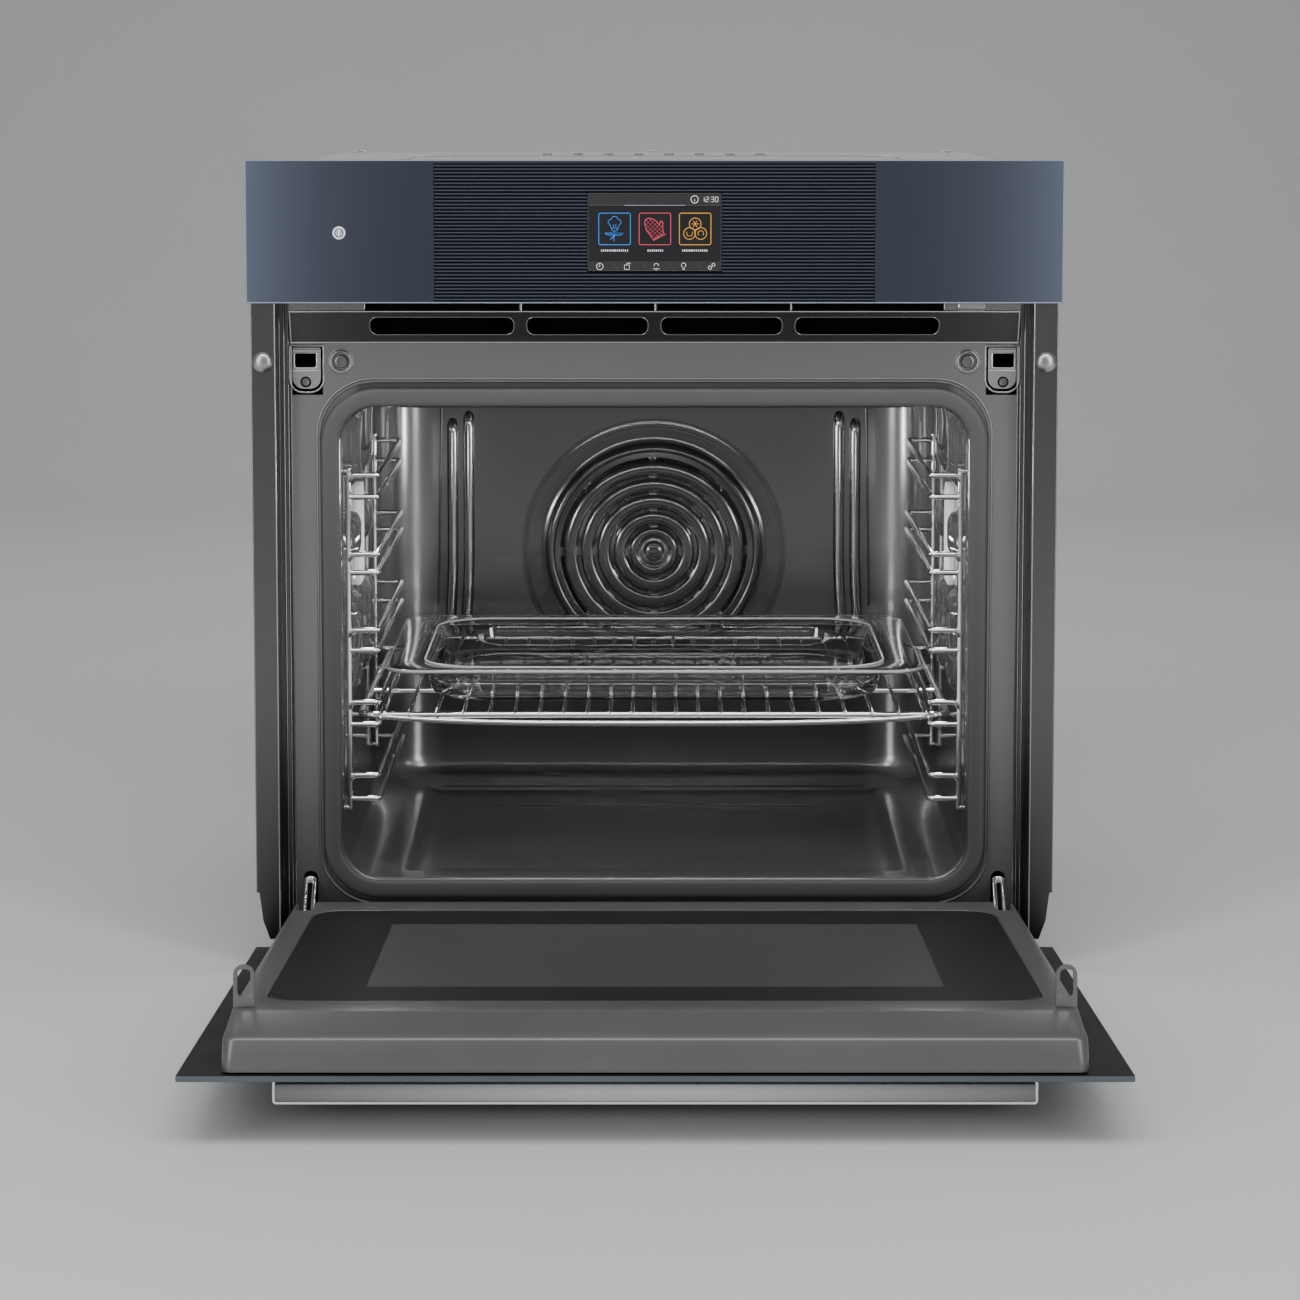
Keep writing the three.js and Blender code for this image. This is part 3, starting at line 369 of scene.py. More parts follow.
def register(obj, body, replaces=()):
    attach(obj, body)
    if replaces:
        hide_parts(*replaces)
    return obj


def mesh_object(name, vertices, faces, materials):
    mesh = bpy.data.meshes.new(name)
    mesh.from_pydata([tuple(v) for v in vertices], [], faces)
    for one in materials:
        mesh.materials.append(M[one])
    obj = bpy.data.objects.new(name, mesh)
    bpy.context.scene.collection.objects.link(obj)
    return obj


def smooth(obj, angle=None):
    """Rounded shading; past an angle in degrees, edges stay sharp."""
    for polygon in obj.data.polygons:
        polygon.use_smooth = True
    if angle is not None:
        bm = bmesh.new()
        bm.from_mesh(obj.data)
        for edge in bm.edges:
            if edge.is_manifold:
                edge.smooth = edge.calc_face_angle(0.0) < math.radians(angle)
        bm.to_mesh(obj.data)
        bm.free()
    return obj


def outward(obj):
    bm = bmesh.new()
    bm.from_mesh(obj.data)
    bmesh.ops.remove_doubles(bm, verts=bm.verts, dist=1e-6)
    bmesh.ops.recalc_face_normals(bm, faces=bm.faces)
    bm.to_mesh(obj.data)
    bm.free()
    return obj


def bevel(obj, width, segments=2, angle=35.0):
    made = obj.modifiers.new("soft_edges", "BEVEL")
    made.width = width * MM
    made.segments = segments
    made.limit_method = "ANGLE"
    made.angle_limit = math.radians(angle)
    return obj


def applied(obj):
    """The object with its modifiers made part of its mesh."""
    graph = bpy.context.evaluated_depsgraph_get()
    mesh = bpy.data.meshes.new_from_object(obj.evaluated_get(graph))
    obj.modifiers.clear()
    obj.data = mesh
    return obj


def arc(center, radius, start, end, steps):
    """Points on an arc of the plane, angles in degrees."""
    turn = [math.radians(start + (end - start) * i / steps) for i in range(steps + 1)]
    return [(center[0] + radius * math.cos(a), center[1] + radius * math.sin(a)) for a in turn]


def corner_centres(a0, a1, b0, b1, radius):
    """Each corner's centre, anticlockwise from the bottom right, and the angle its arc starts at."""
    return ((a1 - radius, b0 + radius, -90), (a1 - radius, b1 - radius, 0),
            (a0 + radius, b1 - radius, 90), (a0 + radius, b0 + radius, 180))


def rounded_rect(a0, a1, b0, b1, radius, steps=6):
    """A closed outline, anticlockwise, of a rectangle with round corners."""
    centres = corner_centres(a0, a1, b0, b1, radius)
    return [p for a, b, turn in centres for p in arc((a, b), radius, turn, turn + 90, steps)]


def dense_rect(a0, a1, b0, b1, radius):
    """rounded_rect with its straight sides cut up too, starting at the bottom left."""
    out = []
    centres = corner_centres(a0, a1, b0, b1, radius)
    for k, (a, b, turn) in enumerate(centres):
        steps = (LONG_STEPS, SHORT_STEPS)[k % 2]
        before = arc(centres[k - 1][:2], radius, turn, turn, 1)[0]
        corner = arc((a, b), radius, turn, turn + 90, CORNER_STEPS)
        (x0, z0), (x1, z1) = before, corner[0]
        out += [(x0 + (x1 - x0) * t, z0 + (z1 - z0) * t) for t in [i / steps for i in range(steps)]]
        out += corner[:-1]
    return out


def skin(rings, closed_ends=(True, True), wrap=False):
    """Vertices and faces of a surface through rings with the same number of points."""
    count = len(rings[0])
    vertices = [p for ring in rings for p in ring]
    faces = []
    spans = len(rings) if wrap else len(rings) - 1
    for r in range(spans):
        low, high = r * count, ((r + 1) % len(rings)) * count
        for i in range(count):
            j = (i + 1) % count
            faces.append((low + i, low + j, high + j, high + i))
    if closed_ends[0] and not wrap:
        faces.append(tuple(reversed(range(count))))
    if closed_ends[1] and not wrap:
        base = (len(rings) - 1) * count
        faces.append(tuple(base + i for i in range(count)))
    return vertices, faces


def extrusion(name, outline, place, low, high, *looks):
    """An outline's two copies, at low and high, joined; place(a, b, depth) gives the point."""
    rings = [[place(a, b, d) for a, b in outline] for d in (low, high)]
    return outward(mesh_object(name, *skin(rings), looks))


def facing(x, z, y):
    return at(x, y, z)


def door_facing(x, z, y):
    return on_door(x, y, z)


def along_x(y, z, x):
    return at(x, y, z)


def front_axis(x, z):
    """Places a turned piece whose axis runs straight back at x, z."""
    return lambda u, v, depth: at(x + u, depth, z + v)


def ring(x, z, radius, start=0, end=360, steps=20):
    return arc((x, z), radius, start, end, steps)


def lathe(name, profile, place, look, segments=40):
    """A turned piece: profile is (radius, depth) pairs, place(u, v, depth) gives the point."""
    rings = []
    for radius, depth in profile:
        circle = ring(0, 0, max(radius, 0.001), steps=segments)[:-1]
        rings.append([place(u, v, depth) for u, v in circle])
    return smooth(outward(mesh_object(name, *skin(rings), [look])), 40)


def rounded_path(points, radius, steps=5):
    """A path whose inner corners are turned into arcs."""
    points = [Vector(p) for p in points]
    out = [points[0]]
    for before, corner, after in zip(points, points[1:], points[2:]):
        a, b = (before - corner), (after - corner)
        half = a.angle(b) / 2
        reach = min(radius / math.tan(half), a.length * 0.48, b.length * 0.48)
        start, end = corner + a.normalized() * reach, corner + b.normalized() * reach
        for i in range(steps + 1):
            t = i / steps
            out.append(start.lerp(corner, t).lerp(corner.lerp(end, t), t))
    out.append(points[-1])
    return out


def wires(name, paths, radius, material, place=at, cyclic=False, sides=4):
    """Round wires along paths, as one curve object."""
    curve = bpy.data.curves.new(name, "CURVE")
    curve.dimensions = "3D"
    curve.bevel_depth = radius * MM
    curve.bevel_resolution = sides
    curve.use_fill_caps = True
    for path in paths:
        spline = curve.splines.new("POLY")
        spline.points.add(len(path) - 1)
        for point, where in zip(spline.points, path):
            point.co = (*place(*where), 1.0)
        spline.use_cyclic_u = cyclic
        spline.use_smooth = True
    curve.materials.append(M[material])
    obj = bpy.data.objects.new(name, curve)
    bpy.context.scene.collection.objects.link(obj)
    return obj


def wired(slot, name, paths, radius, look, body=ROOT, replaces=(), **shape):
    """Wires that ride a body; the slot argument is not used."""
    return register(wires(name, paths, radius, look, **shape), body, replaces)


def ease(t):
    t = max(0.0, min(1.0, t))
    return t * t * (3 - 2 * t)


# ---- CAD nodes that stay ----

KEPT = {name: (look, width) for look, width, names in (
    ("zinc", 0.5, ("casing_base", "casing_left", "casing_right", "casing_top", "casing_back")),
    ("zinc", 0.3, ("blower_housing",)),
    ("plastic", 0.6, ("terminal_block", "panel_housing")),
    ("frame", 0.5, ("front_frame",)),
    ("frame_dark", 0.2, ("grill_element", "base_element", "ring_element")),
    ("wool", 1.5, ("insulation_wrap",)),
    ("motor", 0.8, ("fan_motor",)),
    ("bright", 0.3, ("fan_rotor", "blower_impeller")),
    ("slate", 0.7, ("panel_glass",)),
    ("board", 0.2, ("control_board",)),
    ("clear", 0.4, ("door_middle_glass_outer", "door_middle_glass_inner")),
) for name in names}
KEPT.update({f"{stem}_{side}": look for _, side in SIDES for stem, look in {
    "side_trim": ("trim", 0.9), "latch_bolt": ("bright", 0.3), "hinge_socket": ("frame_dark", 0.4),
    "hinge_pin": ("bright", 0.3), "handle_post": ("handle", 0.8), "lamp_cover": ("lamp", 0.6),
    "latch_loop": ("loop", 0.5),
}.items()})


def dress_kept_nodes():
    for name, (look, width) in KEPT.items():
        obj = NODES[name]
        obj.material_slots[0].material = M[look]
        weld = obj.modifiers.new("weld", "WELD")
        weld.merge_threshold = 1e-5
        bevel(obj, width)


# ---- Control panel ----

RIB = {"half": 160.6, "bottom": 488.9, "top": 588.9, "count": 39, "wide": 1.15}
SCREEN = {"half": 48.7, "bottom": 511.1, "top": 567.8}


def rib_field():
    """The panel's dark field with its fine raised ribs, and the panel's ground edge."""
    half, bottom, top, radius = RIB["half"], RIB["bottom"], RIB["top"], RIB["wide"] / 2
    field = rounded_rect(-half, half, bottom, top, 0.4, 2)
    base = extrusion("rib_base", field, facing, 1.2, 1.7, "rib_dark")
    register(base, ROOT, ["panel_ribs"])
    pitch = (top - bottom) / RIB["count"]
    vertices, faces = [], []
    for i in range(RIB["count"]):
        z = bottom + (i + 0.5) * pitch
        beside = SCREEN["bottom"] - 1 < z < SCREEN["top"] + 1
        spans = [(-half, -SCREEN["half"] - 0.5), (SCREEN["half"] + 0.5, half)] if beside else [(-half, half)]
        for x0, x1 in spans:
            section = arc((1.2, z), radius, 90, 270, 6)
            part, sides = skin([[at(x, y, height) for y, height in section] for x in (x0, x1)])
            faces += [tuple(k + len(vertices) for k in face) for face in sides]
            vertices += part
    bars = smooth(outward(mesh_object("rib_bars", vertices, faces, ["rib_light"])), 50)
    register(bars, ROOT)
    edge = [(x, 0.2, z) for x, z in rounded_rect(-298, 298, 487.9, 591.5, 1.2, 4)]
    wired("panel_glass", "panel_edge_line", [edge], 0.5, "panel_edge", cyclic=True)


def line_mark(name, paths, radius, look, origin=(0, 0), cyclic=False, slot="display"):
    """Thin lines drawn on the panel's face, in X and Z from an origin."""
    points = [[(origin[0] + x, 0.06, origin[1] + z) for x, z in path] for path in paths]
    return wired(slot, name, points, radius, look, cyclic=cyclic, sides=2)


def chef_icon(middle):
    hat = ring(-2.7, 5, 2.0, 250, 85, 8) + ring(0, 6.8, 2.4, 150, 30, 8) + ring(2.7, 5, 2.0, 95, -70, 8)
    hat += [(2.6, 0.6), (-2.6, 0.6)]
    face = ring(0, 0.6, 2.3, 180, 360, 10)
    creases = [[(x, 1.2), (x, 3.4)] for x in (-0.8, 0.9)]
    tray = [(-7, -3), (6.4, -3), (4.6, -4.4), (-5, -4.4), (-7, -3)]
    arm = [(-3, -7.6), (-1, -5.4), (0.4, -4.4)]
    hand = [(0.4, -4.4), (-0.8, -6.4), (-0.2, -9)]
    line_mark("icon_hat", [hat + hat[:1], face, *creases], 0.2, "blue", middle)
    line_mark("icon_tray", [tray, arm, hand], 0.24, "blue", middle)


MITT = [(-7.5, 4.1), (-7.4, 5.6), (-6.2, 7.3), (-4.2, 7.9), (-0.9, 7.1), (1.7, 5.0), (3.1, 2.1),
        (3.5, 4.5), (4.3, 5.8), (5.4, 5.6), (5.8, 4.3), (5.6, 0.5), (6.5, -2.9), (-0.9, -8.1),
        (-3.3, -4.8), (-6.3, -0.8), (-7.5, 4.1)]


def inside(point, outline):
    """Whether a point lies within a closed outline."""
    x, z = point
    hit = False
    for (x0, z0), (x1, z1) in zip(outline, outline[1:] + outline[:1]):
        if (z0 > z) != (z1 > z) and x < (x1 - x0) * (z - z0) / (z1 - z0) + x0:
            hit = not hit
    return hit


def mitt_icon(middle):
    """An oven mitt with its cuff and a checked weave."""
    line_mark("icon_mitt", [MITT, [(-1.4, -8.5), (7.9, -3.6)]], 0.26, "red", middle)
    checks = []
    spacing, step = 3.2, 0.35
    for slant in (1, -1):
        for k in range(-5, 6):
            run = [(k * spacing + t * step, slant * t * step) for t in range(-30, 31)]
            kept = [p for p in run if inside(p, MITT)]
            if len(kept) > 2:
                checks.append([kept[0], kept[-1]])
    line_mark("icon_mitt_checks", checks, 0.09, "red", middle)


def functions_icon(middle):
    """Three touching circles with a small sign in each."""
    star, tub, knob = (0, 3.7), (-4.1, -3.3), (4.1, -3.3)
    line_mark("icon_circles", [ring(*centre, 4.3) for centre in (star, tub, knob)], 0.24, "orange", middle)
    signs = [[star, tip] for tip in ring(*star, 2.7, 0, 300, 5)]
    signs += [[(-6.4, -2), (-5.6, -5), (-2.4, -5), (-1.6, -2)], ring(*knob, 2.0, -40, 220)]
    line_mark("icon_circle_signs", signs, 0.2, "orange", middle)


def small_icons(z):
    """The five tabs' line drawings and the slanted lines between the tabs."""
    sheet = [(-2.2, -2.2), (-2.2, 1), (1.4, 1), (1.4, -2.2), (-2.2, -2.2)]
    drawings = (
        [ring(0, 0, 2.4), [(0, 1.5), (0, 0), (-1, 0)]],
        [sheet, [(-0.6, 1), (-0.6, 2.4), (2.4, 2.4)]],
        [[(-2.3, -1.7), (2.3, -1.7)], ring(0, 0.6, 1.6, -10, 190, 8), [(-0.5, -2.6), (0.5, -2.6)]],
        [ring(0, 0.9, 1.6, -60, 240), [(-0.7, -1.4), (0.7, -1.4)], [(-0.7, -2.2), (0.7, -2.2)]],
        [ring(-1.1, -0.9, 1.2), ring(1.5, 1.2, 1.1)],
    )
    for k, (gap, paths) in enumerate(zip((8.8, 29, 50, 69.9, 90.2), drawings)):
        x = gap - SCREEN["half"]
        line_mark(f"icon_small_{k}", paths, 0.18, "white", (x, z))
        if k:
            line_mark(f"tab_line_{k}", [[(-1.6, 3), (1.6, -3)]], 0.1, "screen_line", (x - 8.5, z))


TILES = (  # a tile's colour, its left edge from the screen's, its drawing, its words' ends from its middle
    ("blue", 8.1, chef_icon, ((-9.5, -0.8), (0.4, 9.5))),
    ("red", 37.5, mitt_icon, ((-5, 5),)),
    ("orange", 66.8, functions_icon, ((-9, -3.2), (-2, 9))),
)


def display():
    """The screen: two bars, three framed tiles with their drawings and labels, tab signs and a clock."""
    half, bottom, top = SCREEN["half"], SCREEN["bottom"], SCREEN["top"]
    outline = rounded_rect(-half, half, bottom, top, 1.2)
    glass = extrusion("screen_glass", outline, facing, 0.1, 1.7, "screen")
    register(bevel(glass, 0.25), ROOT, ["display_screen"])
    for name, low, high in (("title", top - 8.8, top - 0.6), ("tab", bottom + 0.6, bottom + 7)):
        outline = rounded_rect(0.6 - half, half - 0.6, low, high, 0.6)
        bar = extrusion(f"screen_{name}_bar", outline, facing, -0.02, 0.08, "screen_bar")
        register(bar, ROOT)
    under_title = top - 8.9
    line_mark("screen_lines", [[(1 - half, under_title), (half - 1, under_title)]], 0.16, "screen_line")
    line_mark("screen_line_glow", [[(-22, under_title), (22, under_title)]], 0.18, "mark")
    edge = rounded_rect(0.2 - half, half - 0.2, bottom + 0.2, top - 0.2, 1)
    line_mark("screen_edge", [edge], 0.14, "screen_line", cyclic=True)
    tile, tile_top = 23, top - 14.6
    for color, left, draw, words in TILES:
        middle = left - half + tile / 2
        frame_line = rounded_rect(middle - tile / 2, middle + tile / 2, tile_top - tile, tile_top, 1.4)
        line_mark(f"tile_{color}", [frame_line], 0.26, color, cyclic=True)
        dashes = [[(start + 1.5 * i, 0), (start + 1.5 * i, 1.4)] for start, end in words
                  for i in range(round((end - start) / 1.5) + 1)]
        line_mark(f"label_{color}", dashes, 0.3, "white", (middle, tile_top - 27.9))
        draw((middle, tile_top - tile / 2))
    small_icons(top - 53.4)
    info = (half - 19.5, top - 4.6)
    line_mark("icon_info", [ring(0, 0, 2.7), [(0, -1.4), (0, 0.4)]], 0.2, "white", info)
    clock((half - 13.8, top - 6.3))


SEGMENTS = {"0": "abcdef", "1": "bc", "2": "abdeg", "3": "abcdg"}


def clock(corner):
    """Generic seven-segment digits."""
    wide, mid, high = 1.9, 1.7, 3.4
    lines = {"a": ((0, high), (wide, high)), "b": ((wide, high), (wide, mid)), "c": ((wide, mid), (wide, 0)),
             "d": ((0, 0), (wide, 0)), "e": ((0, 0), (0, mid)), "f": ((0, mid), (0, high)),
             "g": ((0, mid), (wide, mid))}
    strokes = [[(left + u, v) for u, v in lines[segment]]
               for digit, left in zip("1230", (-0.6, 2.4, 6.4, 9.4)) for segment in SEGMENTS[digit]]
    strokes += [[(5.3, low), (5.3, low + 0.3)] for low in (0.7, 2.4)]
    line_mark("clock_digits", strokes, 0.15, "white", corner)


def power_key():
    """A lit round key with a ring and a power sign."""
    key = (-230, 538.8)
    profile = [(0, 1.3), (4.8, 1.3), (4.9, 0.5), (4.6, 0.25), (0, 0.2)]
    register(lathe("power_disc", profile, front_axis(*key), "mark"), ROOT, ["power_key"])
    line_mark("power_ring", [ring(0, 0, 4.1), [(0, -2.2), (0, 2.4)]], 0.34, "white", key, slot="lit_mark")
    line_mark("power_arc", [ring(0, 0, 2.9, 112, 428)], 0.3, "slate", key, slot="lit_mark")


# ---- Front frame details ----


def casing_details():
    """Pressed stiffening beads, and the screws that hold the casing's sheets together."""
    wall, roof, bead = 274, 585, 1.3
    panel = rounded_rect(110, 470, 90, 420, 30, 8)
    lines = [panel + panel[:1], [(80, 70), (530, 70)], [(80, 562), (530, 562)]]
    for side, name in SIDES:
        paths = [[(side * (wall - bead), y, z) for y, z in line] for line in lines]
        wired("galvanised_steel", f"casing_beads_{name}", paths, 2 * bead, "zinc")
    top = [(x, y, roof - bead) for x, y in rounded_rect(-200, 200, 120, 400, 30, 8)]
    wired("galvanised_steel", "casing_beads_top", [top], 2 * bead, "zinc", cyclic=True)
    head = [(0, -0.8), (3.4, -0.8), (3.5, 0.5), (2.7, 1.4), (1.5, 1.6), (1.2, 0.6), (0, 0.6)]

    def screw(name, place):
        register(lathe(f"casing_screw_{name}", head, place, "bright", 16), ROOT)

    for side, name in SIDES:
        for k, (y, z) in enumerate((y, z) for y in (62, 556) for z in (30, 190, 350, 540)):
            screw(f"{name}_{k}", lambda u, v, d: at(side * (wall + d), y + u, z + v))
    for k, (x, y) in enumerate((x, y) for x in (-255, 0, 255) for y in (70, 556)):
        screw(f"top_{k}", lambda u, v, d: at(x + u, y + v, roof + d))


def slope_y(z):
    """Depth of the frame's front face at a height, on the sloped vent band."""
    return 45 - 12 * max(0.0, min(1.0, (z - 456) / 23.5))


def vent_lips():
    """Rolled lips round the four vents, and a near-black baffle behind them as painted shadow."""
    spans = ((-211, -104), (-94.7, -4.7), (4.7, 94.7), (104, 211))
    outlines = [rounded_rect(x0, x1, 461.6, 475.1, 5.5, 5) for x0, x1 in spans]
    paths = [[(x, slope_y(z) + 0.4, z) for x, z in outline] for outline in outlines]
    wired("frame_steel", "vent_lips", paths, 0.55, "frame_fold", cyclic=True)
    section = [(66, 456), (48, 478), (49.5, 479), (67.5, 457)]
    register(extrusion("vent_baffle", section, along_x, -222, 222, "void"), ROOT)


def brow_strip():
    """The narrow strip under the control panel: bright ends, a dark slot and its bridges."""
    section = [(33.4, 480.2), (33.4, 485), (34.3, 485), (34.3, 480.2)]
    register(extrusion("brow_shadow", section, along_x, -216, 216, "void"), ROOT)
    for side, name in SIDES:
        outline = rounded_rect(*sorted((side * 214, side * 270.6)), 480.4, 487, 0.8, 3)
        plate = extrusion(f"brow_plate_{name}", outline, facing, 32.1, 32.9, "frame_fold")
        register(bevel(plate, 0.3), ROOT)
    clip = extrusion("brow_clip", rounded_rect(224, 244, 481.6, 486.4, 1.6, 4), facing, 28.5, 32, "bright")
    register(bevel(clip, 0.8), ROOT)
    bridges = [[(x, 32.6, 480), (x, 32.6, 487)] for x in (-98.5, 0.5, 101)]
    wired("frame_steel", "brow_bridges", bridges, 0.9, "frame_fold")


def frame_beads():
    """Rolled edges that catch the light, round the rim, at the folds and along both side trims; those at the
    folds and trims are drawn in lighter steel than the frame, as painted highlights.
    """
    rim = [(x, 44.95, z) for x, z in rounded_rect(-251.3, 251.3, 31.7, 428.3, 42, 16)]
    wired("frame_steel", "rim_bead", [rim], 0.9, "frame", cyclic=True)
    folds = [[(-270, y, z), (270, y, z)] for y, z in ((44.8, 455.8), (32.8, 479.5))]
    wired("frame_steel", "frame_folds", folds, 0.95, "polished")
    for side, name in SIDES:
        x = side * 270.1
        outer = [(x, 45.3, 20.4), (x, 45.3, 456), (x, 33.3, 479.5), (x, 33.3, 484.6)]
        wired("frame_steel", f"frame_side_bead_{name}", [outer], 0.85, "frame_fold")
        feet = ((side * 279.5, 17.3, 11), (side * 296.5, 17.6, 47))
        edges = [[(x, y, low), (x, y, 583)] for x, y, low in feet]
        wired("trim_steel", f"trim_edges_{name}", edges, 0.65, "frame_fold")
        gutter = [[(side * x, 46.6, 12), (side * x, 46.6, 500)] for x in (275.6, 272.4)]
        wired("trim_steel", f"trim_gutter_{name}", gutter, 0.8, "frame_fold")


def screws():
    """A domed screw in each side trim, and a pan head in a cup on each side of the frame."""
    dome = [(0, 34), (2.2, 32), (2.2, 16.7), (7.4, 16.7), (7.6, 16.2)]
    quarter = [math.pi / 2 * k / 10 for k in range(1, 11)]
    dome += [(7.6 * math.cos(a), 15.8 - 3.7 * math.sin(a)) for a in quarter]
    pan = [(0, 60), (2, 58), (2, 47.2), (5, 47.2), (5, 46), (4.4, 45.2), (3.4, 45.0), (3.1, 46.4), (0, 46.5)]
    for side, name in SIDES:
        cap = lathe(f"trim_screw_dome_{name}", dome, front_axis(side * 288.2, 443), "dome")
        register(cap, ROOT, [f"trim_screw_{name}"])
        x, z = side * 233, 441.4
        head = lathe(f"frame_screw_head_{name}", pan, front_axis(x, z), "screw")
        register(head, ROOT, [f"frame_screw_{name}"])
        for k, (radius, y, look) in enumerate(((7.5, 44.8, "frame_fold"), (8.9, 45.1, "frame"))):
            lip = [(u, y, v) for u, v in ring(x, z, radius, steps=32)[:-1]]
            wired("frame_steel", f"screw_cup_lip_{name}_{k}", [lip], 0.8, look, cyclic=True)


def latch_outline(x, low, high, half, radius):
    """A tab with square shoulders above and a round foot."""
    left, right, shoulder = x - half, x + half, 1.5
    foot = arc((left + radius, low + radius), radius, 180, 270, 8)
    foot += arc((right - radius, low + radius), radius, 270, 360, 8)
    foot += arc((right - shoulder, high - shoulder), shoulder, 0, 90, 3)
    return foot + arc((left + shoulder, high - shoulder), shoulder, 90, 180, 3)


def holed(piece, outline, place, low, high):
    """Cut an opening of this outline through the piece."""
    cutter = extrusion("cutter", outline, place, low, high, "void")
    step = piece.modifiers.new("opening", "BOOLEAN")
    step.operation = "DIFFERENCE"
    step.solver = "EXACT"
    step.object = cutter
    applied(piece)
    bpy.data.objects.remove(cutter)
    return piece


def latches():
    """The two door latches' face plates, each with a bright-lipped mouth over a dark well, its near-black
    walls painted shadow, and a screw.
    """
    pan = [(0, 51), (1.5, 50), (1.5, 46.7), (3, 46.7), (3.1, 45.6), (2.6, 44.9), (1.9, 45.0), (1.7, 46.2),
           (0, 46.3)]
    low, high, screw_z = 437, 447.2, 426
    for side, name in SIDES:
        x, mouth = side * 258.6, side * 259.4

        def mouth_outline(grow):
            return rounded_rect(mouth - 7.8 - grow, mouth + 7.8 + grow, low - grow, high + grow, 1, 3)

        plate = latch_outline(x, 420.8, 451.8, 10.6, 8)
        face = extrusion(f"latch_face_{name}", plate, facing, 46.4, 48, "bright")
        holed(face, mouth_outline(0), facing, 40, 60)
        register(bevel(face, 0.5, 3), ROOT, [f"latch_housing_{name}"])
        back = rounded_rect(x - 9.8, x + 9.8, 421, 450, 2, 3)
        well = extrusion(f"latch_well_{name}", back, facing, 77, 78, "void")
        register(bevel(well, 0.3), ROOT)
        sides = extrusion(f"latch_sides_{name}", mouth_outline(1), facing, 48.2, 76.8, "void")
        register(holed(sides, mouth_outline(0), facing, 47, 78), ROOT)
        lip = [(u, 46.2, v) for u, v in rounded_rect(mouth - 8.3, mouth + 8.3, 436.5, 447.8, 1.4, 3)]
        wired("steel_bright", f"latch_mouth_lip_{name}", [lip], 0.55, "polished", cyclic=True)
        ledges = [[(x - 9.8, y, z), (x + 9.8, y, z)] for y, z in ((45.9, 434.6), (46.1, 449.6))]
        wired("steel_bright", f"latch_ledges_{name}", ledges, 0.7, "polished")
        pocket = [(u, 45.1, v) for u, v in latch_outline(x, 418.4, 453.4, 12.6, 9.6)]
        wired("frame_steel", f"latch_pocket_{name}", [pocket], 0.9, "frame_fold", cyclic=True)
        head = lathe(f"latch_screw_head_{name}", pan, front_axis(mouth, screw_z), "loop", 24)
        register(head, ROOT, [f"latch_screw_{name}"])
        # A near-black ring round the screw: a painted shadow line.
        circle = [(u, 46.3, v) for u, v in ring(mouth, screw_z, 3.6)]
        wired("steel_bright", f"latch_screw_ring_{name}", [circle], 0.5, "void")


def hinge_arms():
    """Pressed channel arms with rounded noses, bright where they leave the frame."""
    outline = [(100, 30), (46, 30), (18.5, 8.7)] + arc((13, 13), 7, -38, -206, 10)
    outline += arc((45.5, 48.2), 3.8, 135, 90, 4) + [(100, 52)]
    for side, name in SIDES:
        x = side * HINGE_X
        arm = extrusion(f"hinge_leaf_{name}", outline, along_x, x - 4.4, x + 4.4, "polished")
        register(bevel(arm, 1.6, 4), ROOT, [f"hinge_arm_{name}"])
        rails = [(x - 3.4, 9.4, 18), (x - 3.4, 41.5, 49.4), (x - 2.2, 43.8, 51.6), (x + 2.2, 43.8, 51.6),
                 (x + 3.4, 41.5, 49.4), (x + 3.4, 9.4, 18)]
        wired("steel_bright", f"hinge_rails_{name}", [rounded_path(rails, 2)], 1.25, "polished")
        # The groove is a near-black wire: painted shadow in the channel.
        wired("steel_bright", f"hinge_groove_{name}", [[(x, 10, 18.6), (x, 40, 47.6)]], 1.9, "void")
        rivets = [[(x - 0.3, y, z), (x + 0.3, y, z)] for y, z in ((38.4, 45.6), (34.6, 42))]
        wired("steel_bright", f"hinge_rivets_{name}", rivets, 1.9, "polished")


# ---- Cavity ----

LONG_STEPS, SHORT_STEPS, CORNER_STEPS = 96, 112, 12
MOUTH = (234, 51, 407, 27)  # half width, bottom, top, corner radius
BACK_BEND = 46
BACK_Y = 449
FAN_Z = 248
COVER_EDGE = 114
SLOT_RINGS = ((78.5, 8), (64, 8), (50, 8), (35.8, 6), (22.1, 4))  # radius, number of slots
SLOT_HALF = 1.5
COVER_BANDS = ((78.5, 64), (64, 50), (50, 35.8), (35.8, 22.1), (22.1, 11.5))
SIDE_POCKETS = ((338, 398), (281, 318), (178, 256))


def emboss(x, y, z):
    """Pressed shapes in the cavity's floor and sides: how far the surface comes into the cavity."""
    depth = 0.0
    if z < 60:
        for half, y0, y1, soft in ((190, 70, 415, 8), (143, 100, 346, 8)):
            edge = min(half - abs(x), y - y0, y1 - y)
            depth -= 2.4 * ease(edge / soft)
    if abs(x) > 225 and 60 < z < 400:
        for middle, half in ((270, 30), (150, 24)):
            beside = abs(y - middle) / half
            for low, high in SIDE_POCKETS:
                over = max(low + half * 0.5 - z, z - high + half * 0.5, 0) / (half * 0.5)
                away = math.hypot(beside, over)
                if away < 1:
                    depth += 7.0 * (1 - away * away) ** 0.6
    return depth


def liner_ring(half, low, high, radius, y, pressed=True):
    out = []
    for x, z in dense_rect(-half, half, low, high, radius):
        if pressed and 56 < y < 430:
            lift = emboss(x, y, z)
            if z < 60:
                z += lift
            elif abs(x) > 225:
                x -= math.copysign(lift, x)
        out.append(at(x, y, z))
    return out


def ridge(radius, top, width, height):
    """A round pressed ring's height at a radius."""
    away = abs(radius - top) / (width / 2)
    return height * math.sqrt(1 - away * away) if away < 1 else 0.0


